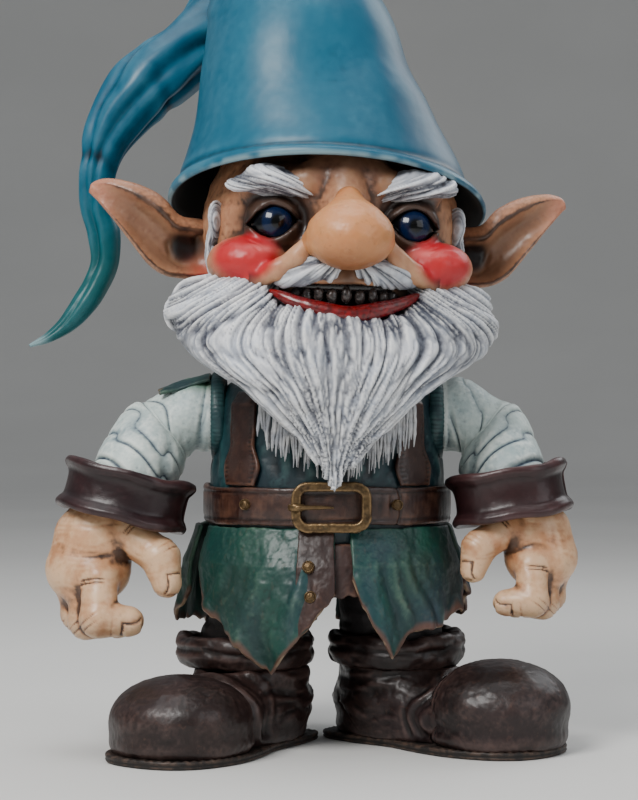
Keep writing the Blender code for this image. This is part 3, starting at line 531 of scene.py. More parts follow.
HAND_SKIN = (
    Paint("painted_hands", (0.34, 0.5), 0.15, subsurface=0.06, patch=26)
    .base((0.8, 0.61, 0.45), (0.7, 0.49, 0.34)).tint("pale", (0.9, 0.77, 0.64), 0.5)
    # brown: painted shade where the hand goes into the cuff and at the bottom of the hand
    .tint("brown_shade", (0.32, 0.18, 0.12), 0.85).wash_and_shade((0.16, 0.085, 0.06), 1.0, 0.2)
    .worn((0.94, 0.82, 0.67), 0.45, 0.42).specks((0.45, 0.28, 0.2), 380, 0.15)
    .grain((240, 0.0006, 0.25), (1100, 0.0002, 0.25)).done()
)
HAIR = (
    Paint("painted_hair", (0.44, 0.62), 0.05, patch=70).base((0.88, 0.89, 0.91), (0.76, 0.79, 0.84))
    # dark: painted shade on the beard round the mouth
    .wash_and_shade((0.13, 0.15, 0.22), 1.0, 0.2).tint("dark", (0.15, 0.17, 0.26), 0.85)
    .worn((0.98, 0.98, 0.97), 0.65, 0.4).specks((0.45, 0.4, 0.38), 350, 0.2)
    .grain((500, 0.0005, 0.35), (1600, 0.0002, 0.3)).done()
)
YARN = (
    Paint("frayed_yarn", (0.65, 0.8), 0.0, patch=120).base((0.82, 0.82, 0.82), (0.64, 0.66, 0.69))
    .wash_and_shade((0.22, 0.21, 0.23), 0.9, 0.3).specks((0.35, 0.3, 0.28), 300, 0.3)
    .grain((900, 0.0005, 0.7), (2500, 0.0002, 0.5)).done()
)
LIP = (
    Paint("red_lip", (0.24, 0.38), 0.3, patch=90).base((0.62, 0.06, 0.08), (0.5, 0.04, 0.06))
    .wash_and_shade((0.12, 0.01, 0.02), 0.85).worn((0.82, 0.3, 0.3), 0.4)
    .grain((500, 0.0004, 0.3), (1500, 0.0001, 0.2)).done()
)
# The teeth and gum are coloured near black: painted shade inside the mouth.
TOOTH = (
    Paint("teeth_in_shade", (0.18, 0.34), 0.5, patch=150).base((0.1, 0.08, 0.08), (0.05, 0.04, 0.04))
    .worn((0.46, 0.4, 0.38), 0.5, 0.4).grain((600, 0.0003, 0.3)).done()
)
EYE = (
    Paint("glass_eye", (0.06, 0.12), 0.15, patch=200, specular=0.35)
    .base((0.01, 0.02, 0.045), (0.005, 0.01, 0.02)).tint("iris", (0.03, 0.11, 0.24), 0.85)
    .tint("pupil", (0.0, 0.0, 0.0), 1.0).grain((300, 0.0002, 0.05)).done()
)
HAT = (
    Paint("teal_hat", (0.34, 0.46), 0.04, patch=7, stretch=(1, 1, 0.45), specular=0.4)
    .base((0.01, 0.34, 0.44), (0.01, 0.26, 0.37)).streaks((0.16, 0.42, 0.54), 5, 0.45, 0.5, 0.75, 0.2)
    .streaks((0.01, 0.17, 0.29), 6, 0.5, 0.5, 0.75, 0.2)
    .streaks((0.2, 0.45, 0.55), 70, 0.1, 0.52, 0.8, 0.2).tint("green", (0.01, 0.33, 0.31), 0.75)
    .wash_and_shade((0.005, 0.06, 0.11), 0.95, 0.15).worn((0.36, 0.58, 0.66), 0.35, 0.48)
    .tint("pale", (0.6, 0.7, 0.72), 0.6).tint("dark", (0.008, 0.012, 0.016), 1.0)
    .grain((130, 0.0006, 0.08), (900, 0.0002, 0.15)).dull("dark").done()
)
LINING = (
    Paint("felt_lining", (0.8, 0.95), 0.0, patch=60).base((0.05, 0.06, 0.07), (0.03, 0.035, 0.04))
    .grain((700, 0.0006, 0.6), (2000, 0.0003, 0.5)).done()
)
VEST = (
    Paint("dark_vest", (0.38, 0.55), 0.08, patch=26, stretch=(1, 1, 0.5))
    .base((0.02, 0.17, 0.2), (0.015, 0.11, 0.15)).streaks((0.06, 0.29, 0.3), 30, 0.4)
    .wash_and_shade((0.01, 0.03, 0.05), 0.9).worn((0.28, 0.44, 0.43), 0.45)
    .grain((300, 0.0007, 0.3), (1200, 0.0002, 0.3)).done()
)
COAT = (
    Paint("green_coat", (0.4, 0.56), 0.06, patch=16, stretch=(1, 1, 0.4))
    .base((0.02, 0.25, 0.2), (0.015, 0.17, 0.19)).streaks((0.06, 0.37, 0.28), 22, 0.6)
    .streaks((0.02, 0.18, 0.28), 16, 0.5).streaks((0.08, 0.065, 0.075), 13, 0.6, 0.52, 0.7, 0.8)
    .wash_and_shade((0.005, 0.04, 0.05), 0.95, 0.3).worn((0.38, 0.48, 0.4), 0.4, 0.5)
    .tint("hem", (0.36, 0.23, 0.18), 0.8).tint("pale", (0.66, 0.57, 0.46), 0.7)
    .specks((0.4, 0.3, 0.22), 300, 0.12).grain((220, 0.0008, 0.25), (1000, 0.0002, 0.3)).done()
)
PLACKET = (
    Paint("brown_placket", (0.42, 0.58), 0.06, patch=30, stretch=(1, 1, 0.4))
    .base((0.2, 0.11, 0.09), (0.13, 0.07, 0.065)).streaks((0.29, 0.18, 0.14), 36, 0.4)
    .wash_and_shade((0.04, 0.015, 0.015), 0.9).worn((0.5, 0.36, 0.29), 0.45)
    .grain((400, 0.0006, 0.25), (1300, 0.0002, 0.3)).done()
)
SHIRT = (
    Paint("pale_sleeve", (0.42, 0.6), 0.06, patch=30).base((0.76, 0.82, 0.8), (0.62, 0.7, 0.71))
    .wash_and_shade((0.16, 0.22, 0.31), 1.0, 0.25).worn((0.93, 0.95, 0.92), 0.6, 0.4)
    # dark: painted shade where the sleeve goes into the cuff
    .tint("dark", (0.13, 0.19, 0.26), 0.85).tint("green", (0.03, 0.38, 0.23), 0.9)
    .specks((0.4, 0.45, 0.45), 350, 0.2).grain((260, 0.0008, 0.3), (1100, 0.0002, 0.3)).done()
)
LEATHER = (
    Paint("brown_leather", (0.3, 0.46), 0.18, patch=26).base((0.2, 0.105, 0.075), (0.145, 0.07, 0.055))
    .streaks((0.27, 0.16, 0.12), 130, 0.4, 0.5, 0.7, 0.4).wash_and_shade((0.025, 0.012, 0.01), 0.9, 0.3)
    .worn((0.44, 0.3, 0.23), 0.5).specks((0.06, 0.025, 0.02), 600, 0.4)
    .grain((420, 0.0006, 0.3), (1500, 0.0003, 0.4)).done()
)
CUFF = (
    Paint("oxblood_cuff", (0.28, 0.42), 0.12, patch=16, specular=0.45)
    .base((0.17, 0.075, 0.08), (0.115, 0.05, 0.065)).streaks((0.25, 0.14, 0.145), 40, 0.3, 0.5, 0.75, 0.3)
    .wash_and_shade((0.025, 0.01, 0.012), 0.9, 0.3).worn((0.42, 0.29, 0.29), 0.45, 0.46)
    .grain((240, 0.0006, 0.2), (1200, 0.0003, 0.3)).done()
)
BOOT = (
    Paint("brown_boot", (0.34, 0.48), 0.08, patch=15, specular=0.4)
    .base((0.16, 0.1, 0.088), (0.095, 0.065, 0.065))
    .streaks((0.22, 0.16, 0.165), 20, 0.45, 0.5, 0.75, 0.5).wash_and_shade((0.015, 0.01, 0.01), 0.95)
    .worn((0.38, 0.3, 0.28), 0.5, 0.46).specks((0.36, 0.25, 0.2), 300, 0.2)
    .grain((190, 0.0008, 0.22), (900, 0.0003, 0.35)).done()
)
SOLE = (
    Paint("worn_sole", (0.5, 0.7), 0.05, patch=60).base((0.13, 0.095, 0.08), (0.08, 0.06, 0.05))
    .worn((0.36, 0.28, 0.23), 0.6).wash_and_shade((0.02, 0.015, 0.01), 0.9)
    .grain((300, 0.001, 0.5), (1200, 0.0003, 0.4)).done()
)
TROUSERS = (
    Paint("dark_trousers", (0.5, 0.7), 0.05, patch=40).base((0.09, 0.07, 0.08), (0.055, 0.045, 0.055))
    .wash_and_shade((0.01, 0.01, 0.01), 0.9).worn((0.24, 0.19, 0.19), 0.5)
    .grain((300, 0.0008, 0.5), (1100, 0.0003, 0.4)).done()
)
BRONZE = (
    Paint("aged_bronze", (0.32, 0.48), 0.05, metallic=0.7, patch=90)
    .base((0.38, 0.3, 0.19), (0.25, 0.19, 0.12)).wash_and_shade((0.05, 0.035, 0.025), 0.95)
    .worn((0.66, 0.54, 0.38), 0.7, 0.4).specks((0.16, 0.2, 0.15), 400, 0.4)
    .grain((350, 0.0008, 0.35), (1300, 0.0003, 0.3)).done()
)
STEEL = (
    Paint("brushed_steel", (0.24, 0.36), 0.0, metallic=1.0, patch=80, stretch=(1, 1, 0.2))
    .base((0.55, 0.55, 0.56), (0.45, 0.45, 0.47)).streaks((0.3, 0.3, 0.32), 400, 0.4)
    .grain((600, 0.0002, 0.3)).done()
)

# ---------------------------------------------------------------- head


def mirrored(p):
    """Points folded onto the +X side."""
    return np.concatenate([np.abs(p[..., :1]), p[..., 1:]], -1)


EYE_CENTRE, EYE_RADIUS = np.array((0.0435, -0.068, 0.335)), 0.0145


def head_field(p):
    """Skull, neck, brow, cheeks, eyelids and lips, with the sockets and the mouth cut in."""
    m = mirrored(p)
    body = ball(p, (0, 0, 0.338), (0.0845, 0.0845, 0.0775))
    body = join(body, rod(p, (0, 0, 0.243), (0, 0, 0.29), 0.03, 0.03), 0.006)
    body = join(body, ball(m, (0.038, -0.064, 0.36), (0.029, 0.019, 0.012)), 0.01)
    body = join(body, ball(p, (0, -0.066, 0.293), (0.046, 0.033, 0.022)), 0.008)
    body = join(body, rod(p, (0, -0.07, 0.385), (0, -0.092, 0.34), 0.012, 0.013), 0.014)
    body = join(body, rod(m, (0.014, -0.074, 0.372), (0.024, -0.08, 0.362), 0.009, 0.008), 0.009)
    body = carve_out(body, ball(m, (0.044, -0.09, 0.3365), (0.026, 0.024, 0.0185)), 0.005)
    # cheeks, and the folds that run from the nose round under them
    body = join(body, ball(m, (0.0575, -0.0625, 0.31), (0.027, 0.029, 0.0175)), 0.004)
    fold = chain(m, (((0.022, -0.103, 0.324), 0.005), ((0.031, -0.1025, 0.3125), 0.0058),
                     ((0.043, -0.096, 0.304), 0.0062), ((0.054, -0.085, 0.2985), 0.006),
                     ((0.064, -0.072, 0.296), 0.005)), 0.003)
    body = join(body, fold, 0.0055)
    # eyelids: a shell round the eye, open in front
    rel = m - EYE_CENTRE.astype(np.float32)
    ahead = -rel[..., 1] + 0.25 * rel[..., 0]
    rise = rel[..., 2] + 0.1 * rel[..., 0]
    across2 = (rel[..., 0] / 0.015) ** 2
    upper = (rise - (0.84 - 0.58 * across2) * ahead) * 0.8
    lower = (-rise - (0.76 - 0.54 * across2) * ahead) * 0.82
    opening = np.maximum(np.maximum(upper, lower), -ahead)
    lids = ball(m, EYE_CENTRE, (0.0186,) * 3)
    lids = carve_out(lids, opening, 0.0016)
    body = join(body, lids, 0.0035)
    body = np.maximum(body, -ball(m, EYE_CENTRE, (EYE_RADIUS + 0.0002,) * 3))
    # upper lip, philtrum and the mouth
    lip = chain(p, (((-0.036, -0.09, 0.301), 0.0026), ((-0.016, -0.1015, 0.2975), 0.003),
                    ((0, -0.1045, 0.2962), 0.0036), ((0.016, -0.1015, 0.2975), 0.003),
                    ((0.036, -0.09, 0.301), 0.0026)), 0.002)
    body = join(body, lip, 0.003)
    body = join(body, rod(p, (0, -0.094, 0.314), (0, -0.102, 0.3), 0.0085, 0.0075), 0.004)
    body = carve_out(body, ball(p, (0, -0.104, 0.2885), (0.0445, 0.022, 0.0078)), 0.0025)
    return body


FACE_CREASES = (
    # frown folds and forehead wrinkles
    (0.001, 0.002, (0.0045, -0.088, 0.386), (0.006, -0.092, 0.374), (0.0115, -0.097, 0.362),
     (0.0135, -0.099, 0.353)),
    (0.0009, 0.0015, (0.0105, -0.084, 0.386), (0.014, -0.087, 0.3765), (0.0205, -0.089, 0.366)),
    (0.0016, 0.0018, (0.0, -0.099, 0.378), (0.02, -0.093, 0.3795), (0.046, -0.082, 0.376)),
    (0.0016, 0.0016, (0.0, -0.095, 0.386), (0.03, -0.086, 0.387), (0.055, -0.07, 0.381)),
    # bags under the eye
    (0.001, 0.002, (0.026, -0.084, 0.331), (0.035, -0.091, 0.3235), (0.0455, -0.091, 0.3195),
     (0.058, -0.084, 0.3225), (0.066, -0.076, 0.329)),
    (0.001, 0.0018, (0.027, -0.09, 0.3255), (0.037, -0.095, 0.319), (0.0475, -0.094, 0.316),
     (0.06, -0.085, 0.3185)),
    # folds over the lid
    (0.001, 0.0018, (0.0275, -0.083, 0.34), (0.034, -0.088, 0.3475), (0.0445, -0.088, 0.35),
     (0.055, -0.082, 0.3475), (0.063, -0.074, 0.341)),
    (0.001, 0.0014, (0.03, -0.084, 0.346), (0.044, -0.088, 0.354), (0.058, -0.078, 0.3505)),
    # crow's feet
    *((0.0011, 0.0018, (0.06, -0.079, rise), (0.067, -0.07, (rise + drop) / 2), (0.074, -0.058, drop))
      for rise, drop in ((0.338, 0.345), (0.334, 0.335), (0.33, 0.326))),
    # beside the nose
    (0.0012, 0.002, (0.02, -0.101, 0.336), (0.0145, -0.1035, 0.344), (0.012, -0.102, 0.352)),
)


def make_head():
    shape = sculpted(head_field, (-0.0905, -0.122, 0.212), (0.0905, 0.0905, 0.4185), 0.00125, 1)
    for side in (-1, 1):
        shape.grooves(side, FACE_CREASES)
    p = shape.v
    shape.push(0.0004 * rough(p * 160, 5))
    m = mirrored(p)
    cheek = apart(m, (0.061, -0.08, 0.312), (0.0225, 0.04, 0.0165))
    in_front = step_between(-0.035, -0.055, p[:, 1])
    shape.mark("red", (1 - step_between(0.72, 1.15, cheek)) * in_front)
    # painted highlight: a pale spot high on each cheek
    shape.mark("pale", bump(apart(m, (0.05, -0.0905, 0.318), (0.01, 0.02, 0.0034)), 0, 0.8))
    socket = apart(m, (0.045, -0.085, 0.3375), (0.025, 0.03, 0.018))
    # painted shade, near black: the mouth's opening, and behind the upper lip under the moustache
    mouth = apart(p, (0, -0.096, 0.288), (0.047, 0.024, 0.009))
    inner = (step_between(0.0, 0.012, p[:, 1] + 0.098) * step_between(0.304, 0.3, p[:, 2])
             * (m[:, 0] < 0.06) * (p[:, 1] < -0.045))
    shape.mark("mouth", np.maximum(1 - step_between(0.85, 1.05, mouth), inner * 0.9))
    corners = np.maximum(bump(apart(m, (0.0275, -0.082, 0.338), (0.0085, 0.02, 0.011)), 0, 1),
                         bump(apart(m, (0.062, -0.07, 0.337), (0.0075, 0.02, 0.01)), 0, 1))
    under_brow = bump(apart(m, (0.044, -0.08, 0.3505), (0.021, 0.03, 0.005)), 0, 1)
    lid_edge = 1 - step_between(EYE_RADIUS + 0.001, EYE_RADIUS + 0.0052, apart(m, EYE_CENTRE))
    hole = 0.5 * (1 - step_between(0.7, 1.25, socket))
    # painted shade, near black: in the eyes' corners and sockets, under the brow and in the creases, with a
    # dark line round each eyeball
    shape.mark("dark", np.maximum.reduce([0.95 * corners, 0.8 * under_brow, 0.88 * lid_edge,
                                          0.7 * shape.creases, hole]))
    # painted shade, in brown: the eye sockets, the forehead darkening up into the brim's shadow, and a strip
    # under the nose
    shape.mark("brown_shade", np.maximum.reduce([0.95 * (1 - step_between(0.85, 1.4, socket)),
                                           0.8 * step_between(0.346, 0.372, p[:, 2]) * in_front,
                                           0.85 * bump(p[:, 0], 0, 0.01) * (p[:, 2] < 0.314) * in_front]))
    shape.wash_and_shade(3, 16, 0.9)
    finish_piece("head_skin", shape, SKIN, "head", ("head_casting",))


def make_nose():
    def field(p):
        egg = ball(p, (-0.0005, -0.1175, 0.3245), (0.0272, 0.0285, 0.0205))
        egg = join(egg, rod(p, (0, -0.1, 0.3475), (-0.0005, -0.116, 0.334), 0.009, 0.0125), 0.012)
        wings = ball(mirrored(p), (0.0195, -0.103, 0.3215), (0.0095, 0.01, 0.0085))
        return join(egg, wings, 0.006)

    shape = sculpted(field, (-0.034, -0.15, 0.294), (0.034, -0.082, 0.364), 0.0008, 2)
    for side in (-1, 1):
        shape.grooves(side, [(0.0016, 0.0012, (0.015, -0.112, 0.3085), (0.0215, -0.111, 0.315),
                              (0.0245, -0.109, 0.326), (0.019, -0.107, 0.336))])
    p = shape.v
    shape.push(0.00035 * rough(p * 90, 3) + 0.00012 * rough(p * 400, 9))
    # painted shade: brown under the nose and where it meets the face
    shape.mark("brown_shade", np.maximum(step_between(0.318, 0.303, p[:, 2]) * 0.7,
                                   step_between(-0.108, -0.096, p[:, 1])))
    shape.wash_and_shade(3, 18, 0.6)
    finish_piece("nose_skin", shape, NOSE_SKIN, "head", ("nose",))


def sphere_grid(centre, radii, rows=64, columns=128, pole=(0, -1, 0)):
    """A fine ball whose pole points along an axis."""
    polar = np.linspace(0.02, math.pi - 0.02, rows)[:, None]
    around = full_turn(columns)[None, :]
    turn = np.array(Vector((0, 0, 1)).rotation_difference(Vector(pole)).to_matrix())
    globe = stacked(np.sin(polar) * np.cos(around), np.sin(polar) * np.sin(around), np.cos(polar)) @ turn.T
    return grid_shape((globe * radii + centre)[::-1])


def make_eyes():
    for name, side in SIDES:
        centre = EYE_CENTRE * (side, 1, 1)
        gaze = Vector((0.1, -1, 0.02)).normalized()
        shape = sphere_grid(centre, (EYE_RADIUS,) * 3, pole=gaze)
        away = np.arccos(np.clip(((shape.v - centre) / EYE_RADIUS) @ np.array(gaze), -1, 1))
        shape.v += (shape.v - centre) * (0.035 * bump(away, 0, 0.45))[:, None]
        shape.mark("iris", (1 - step_between(0.62, 0.8, away)) * step_between(0.15, 0.45, away))
        shape.mark("pupil", 1 - step_between(0.22, 0.3, away))
        finish_piece(f"glass_eye_{name}", shape, EYE, "head", (f"eye_{name}",))


def hairy(shape, across, along, sizes, seed=0):
    """Combs grooves into a shape. across and along are its hair coordinates, in hair widths."""
    groove = np.zeros(len(shape.v))
    lift = np.zeros(len(shape.v))
    for i, (frequency, depth) in enumerate(sizes):
        wander = 0.6 * plane_noise(across * 0.35, along * 0.14, seed + 40 + i, 1)
        value = plane_noise(across * frequency + wander, along * frequency * 0.12, seed + i, 1)
        ridge = np.clip(np.abs(value) * 2.6, 0, 1)
        lift += depth * (ridge - 0.7)
        groove += (1 - ridge) ** 1.5 * depth / sizes[0][1]
    shape.push(lift)
    return groove


def comb(name, shape, across, along, sizes, seed, replaced=()):
    """Grooves and finishes a patch of hair on the head."""
    groove = hairy(shape, across, along, sizes, seed)
    shape.wash_and_shade(2, 8, 0.5)
    shape.add("wash_and_shade", groove * 0.9)
    finish_piece(name, shape, HAIR, "head", replaced)


def make_moustache(name, side):
    """Short locks that fan down and out."""
    centre = np.array((side * 0.0265, -0.0985, 0.3035))
    middle = np.array(((-0.001 if side < 0 else 0.0), -0.1, 0.318))

    def field(p):
        main = ball(p, centre, (0.0235, 0.01, 0.0088), (0, side * 0.22, side * 0.45))
        return join(main, ball(p, (side * 0.0145, -0.1045, 0.3055), (0.011, 0.0075, 0.0085)), 0.004)

    room = (0.032, 0.022, 0.02)
    shape = sculpted(field, centre - room, centre + room, 0.0006, 1)
    away = shape.v - middle
    angle = np.arctan2(away[:, 0] * side, -away[:, 2])
    reach = np.hypot(away[:, 0], away[:, 2])
    comb(f"moustache_{name}_hair", shape, angle * 5.5, reach * 220,
         ((1.0, 0.0022), (2.1, 0.0011), (4.3, 0.0005)), 3 + side, (f"moustache_{name}",))


def make_sideburn(name, side):
    """A flat lock in front of the ear, from the brow's end down to the beard."""
    def field(p):
        upper = ball(p, (side * 0.0772, -0.0345, 0.339), (0.0042, 0.0095, 0.0125), (0.35, 0, side * 0.42))
        lower = ball(p, (side * 0.079, -0.0295, 0.318), (0.0046, 0.0095, 0.017), (0, 0, side * 0.36))
        return join(upper, lower, 0.005)

    centre, room = np.array((side * 0.0785, -0.032, 0.327)), (0.012, 0.017, 0.03)
    shape = sculpted(field, centre - room, centre + room, 0.0006, 1)
    across = (shape.v[:, 1] + 0.8 * side * shape.v[:, 0] + 0.2 * shape.v[:, 2]) * 330
    comb(f"sideburn_{name}_hair", shape, across, shape.v[:, 2] * 210,
         ((1.3, 0.0012), (2.6, 0.0007), (4.4, 0.0003)), 33 + side)


def make_eyebrow(name, side):
    """Long locks that sweep up and out from the brow's inner end."""
    centre = np.array((side * 0.044, -0.0785, 0.3605))

    def field(p):
        u = (p - centre.astype(np.float32))[..., 0] * side
        bent = p.copy()
        bent[..., 2] += 6.0 * u**2 - 0.09 * u
        bent[..., 1] -= 8.0 * np.maximum(u, 0) ** 2
        return ball(bent, centre, (0.03, 0.0113, 0.01))

    shape = sculpted(field, centre - (0.034, 0.016, 0.017), centre + (0.034, 0.026, 0.015), 0.0007, 1)
    away = (shape.v - centre) * (side, 1, 1)
    across = (away[:, 2] * 0.9 - away[:, 0] * 0.3 + 5 * away[:, 0] ** 2 - away[:, 1] * 0.4) * 330
    comb(f"eyebrow_{name}_hair", shape, across, away[:, 0] * 230,
         ((0.8, 0.0022), (1.7, 0.0011), (3.4, 0.0005)), 13 + side, (f"eyebrow_{name}",))


BEARD = (  # height, half width, front y, back y
    (0.301, 0.086, -0.09, 0.008), (0.295, 0.098, -0.1, 0.014), (0.277, 0.106, -0.111, 0.012),
    (0.262, 0.1, -0.116, 0.0), (0.25, 0.088, -0.117, -0.03), (0.238, 0.071, -0.116, -0.06),
    (0.227, 0.055, -0.114, -0.076), (0.208, 0.033, -0.108, -0.085), (0.194, 0.019, -0.103, -0.086),
    (0.181, 0.009, -0.098, -0.087), (0.169, 0.0025, -0.095, -0.088),
)


def beard_size(z):
    """Half width, front y and back y of the beard at a height."""
    rows = smooth_table(BEARD, 200)[::-1]
    return [np.interp(z, rows[:, 0], rows[:, i]) for i in (1, 2, 3)]


def beard_field(p):
    """The beard's mass, open for the head, the neck and the mouth."""
    z = p[..., 2]
    half, front, back = beard_size(z)
    x = np.abs(p[..., 0] + 0.003) / half
    y = np.abs(p[..., 1] - (front + back) / 2) / ((back - front) / 2)
    near = (x**2.2 + y**2.2) ** (1 / 2.2)
    body = (near - 1) * np.minimum(half, (back - front) / 2) * 0.8
    body = np.maximum(body, 0.169 - z)
    body = -join(-body, 0.3015 - z, 0.007)
    body = carve_out(body, ball(p, (0, 0.034, 0.254), (0.068, 0.072, 0.046)), 0.004)
    body = carve_out(body, ball(p, (0, -0.112, 0.3045), (0.059, 0.05, 0.029)), 0.003)
    return np.maximum(body, -head_hollow(p))


def head_hollow(p):
    """The head and neck that the beard wraps round."""
    skull = ball(p, (0, 0, 0.338), (0.082, 0.082, 0.075))
    return join(skull, rod(p, (0, 0, 0.22), (0, 0, 0.3), 0.028, 0.028), 0.006)


def make_beard():
    shape = sculpted(beard_field, (-0.113, -0.122, 0.166), (0.107, 0.019, 0.306), 0.00105, 2)
    p = shape.v
    half = beard_size(p[:, 2])[0]
    spread = half * (1 - 0.52 * step_between(0.246, 0.304, p[:, 2]))
    turn = np.arctan2(p[:, 0] + 0.003, -(p[:, 1] + 0.035))
    flow = (p[:, 0] + 0.003) / np.maximum(spread, 0.012)
    flow = np.where(p[:, 1] > -0.05, np.sign(p[:, 0]) * (0.9 + 0.35 * np.abs(turn)), flow)
    flow = flow + 0.04 * noise(p * 24, 8) + 0.9 * (p[:, 2] < 0.2) * (0.2 - p[:, 2]) * 4
    lobes = 0.003 * noise(np.stack([flow * 3.2, p[:, 2] * 22, np.zeros(len(p))], 1), 4)
    shape.push(lobes * step_between(0.172, 0.2, p[:, 2]))
    groove = hairy(shape, flow * 12, p[:, 2] * 230, ((1.0, 0.0027), (2.1, 0.0016), (4.2, 0.0008)), 21)
    shape.wash_and_shade(2, 10, 0.45)
    # painted shade round the mouth and under the moustache: more wash there, and the dark mark
    near_mouth = bump(apart(p, (0, -0.1, 0.29), (0.062, 0.04, 0.019)), 0, 1.0)
    shape.mark("wash_and_shade", np.maximum(groove * 0.95, shape.marks["wash_and_shade"]) * (0.75 + 0.5 * near_mouth))
    shape.mark("dark", near_mouth * 0.9 * np.clip(groove * 1.4, 0, 1) + 0.35 * near_mouth)
    finish_piece("beard_hair", shape, HAIR, "head", ("beard",))


def tube_rows(points, radii, sides):
    """Rings round a line of points."""
    points = np.asarray(points, float)
    along = unit(np.gradient(points, axis=0))
    first = unit(np.cross(along, np.array((0.31, 0.9, 0.22))))
    second = np.cross(along, first)
    angle = full_turn(sides)
    radii = np.asarray(radii, float)[:, None, None]
    return points[:, None] + radii * (np.cos(angle)[None, :, None] * first[:, None]
                                      + np.sin(angle)[None, :, None] * second[:, None])


def merged(shapes):
    """Several shapes as one, with their marks."""
    offset, vertices, faces = 0, [], []
    for shape in shapes:
        vertices.append(shape.v)
        faces.append(shape.f + offset)
        offset += len(shape.v)
    out = Shape(np.vstack(vertices), np.vstack(faces))
    for name in shapes[0].marks:
        out.marks[name] = np.concatenate([shape.marks[name] for shape in shapes])
    return out


def make_fringe():
    """Yarn that hangs straight down under the beard, in two layers of strands."""
    random = np.random.default_rng(11)
    share = np.linspace(0, 1, 16)
    strands = []
    for layer, (count, inset) in enumerate(((74, 0.0015), (66, 0.0045))):
        for i in range(count):
            u = (i + random.uniform(0.2, 0.8)) / count
            angle = math.radians(-34 + 68 * u)
            low = 0.174 + 0.022 * abs(2 * u - 1) ** 1.5 + random.uniform(-0.001, 0.011)
            heights = np.linspace(0.238, low, 16)
            sway = random.uniform(-0.02, 0.02) + 0.012 * np.sin(np.linspace(0, 5, 16) + random.uniform(0, 6))
            out = 0.0042 - inset + 0.0006 * np.sin(np.linspace(0, 7, 16) + random.uniform(0, 6))
            turned = angle + sway * share
            line = np.stack([(0.086 + out) * np.sin(turned), -(0.0785 + out) * np.cos(turned), heights], 1)
            radii = random.uniform(0.0009, 0.0014) * np.interp(share, (0, 0.8, 1), (1, 0.9, 0.25))
            radii = radii * (1 + 0.15 * np.sin(np.linspace(0, 60, 16) + i))
            strand = grid_shape(tube_rows(line, radii, 6)[::-1])
            # each strand's wash is random, and the back layer is darker: painted shade behind the front
            # strands
            strand.mark("wash_and_shade", np.full(len(strand.v), random.uniform(0, 0.55) + 0.25 * layer))
            strands.append(strand)
    finish_piece("yarn_strands", merged(strands), YARN, "head", ("yarn_fringe",))


def make_lip():
    count = 72
    angle = np.radians(np.linspace(-62, 62, count))
    spread = np.sin(angle)
    line = np.stack([0.047 * spread / 0.883, -0.08 - 0.0262 * np.cos(angle), 0.2785 + 0.017 * spread**2], 1)
    radii = 0.0056 * np.clip(np.cos(angle * 1.42), 0.03, 1) ** 0.55
    rows = tube_rows(line, radii, 28)
    shape = grid_shape(rows[::-1])
    shape.v[:, 2] += 0.0012 * bump(shape.v[:, 0], 0, 0.012) * -1
    shape.push(0.0003 * rough(shape.v * 260, 6))
    shape.wash_and_shade(2, 8, 0.8)
    finish_piece("lower_lip_paint", shape, LIP, "head", ("lower_lip",))


def make_teeth():
    teeth = []
    for i, place in enumerate(np.linspace(-1, 1, 9)):
        angle = place * 0.95
        centre = np.array((0.0365 * math.sin(angle), -0.0735 - 0.0255 * math.cos(angle),
                           0.29 - 0.0012 * (i % 2)))
        tooth = sphere_grid(centre, (0.0034, 0.003, 0.0052 + 0.0006 * math.sin(i * 2.1)), 20, 28, (0, 0, 1))
        tooth.push(0.0003 * rough(tooth.v * 300, i))
        teeth.append(tooth)
    gum = grid_shape(tube_rows([(0.038 * math.sin(a), -0.07 - 0.026 * math.cos(a), 0.295)
                                for a in np.linspace(-1.15, 1.15, 40)], [0.004] * 40, 12)[::-1])
    shape = merged([*teeth, gum])
    shape.wash_and_shade(2, 4, 0.8)
    finish_piece("teeth_row", shape, TOOTH, "head", ("teeth",))


EAR = (  # distance out, y, z, half height, half thickness, how deep its cup is
    (0.07, 0.008, 0.3205, 0.017, 0.0085, 0.2), (0.082, 0.004, 0.3215, 0.019, 0.0095, 0.8),
    (0.092, 0.001, 0.322, 0.02, 0.01, 1.0), (0.104, -0.002, 0.3235, 0.0202, 0.01, 1.0),
    (0.1145, -0.003, 0.332, 0.0222, 0.009, 1.0), (0.125, -0.0015, 0.341, 0.0195, 0.0085, 0.9),
    (0.134, 0.0, 0.348, 0.016, 0.008, 0.75), (0.143, 0.003, 0.354, 0.012, 0.0067, 0.55),
    (0.15, 0.006, 0.358, 0.0085, 0.0055, 0.3), (0.156, 0.0085, 0.36, 0.005, 0.0038, 0.1),
    (0.159, 0.009, 0.36, 0.0026, 0.0022, 0.0),
)


EAR_RIDGES = (
    # inner ridge
    (0.002, -0.005, (0.09, 0.004, 0.334), (0.104, 0.004, 0.3335), (0.117, 0.004, 0.34),
     (0.131, 0.004, 0.3495)),
    # folds in front of the canal and behind it
    (0.0022, -0.0065, (0.0855, 0.004, 0.333), (0.0885, 0.003, 0.3235), (0.0865, 0.004, 0.313)),
    (0.0018, -0.0045, (0.101, 0.006, 0.334), (0.1065, 0.005, 0.325), (0.103, 0.006, 0.315)),
    # the lobe's roll
    (0.0016, -0.003, (0.094, 0.005, 0.311), (0.106, 0.005, 0.315), (0.117, 0.005, 0.327),
     (0.127, 0.005, 0.336)),
)


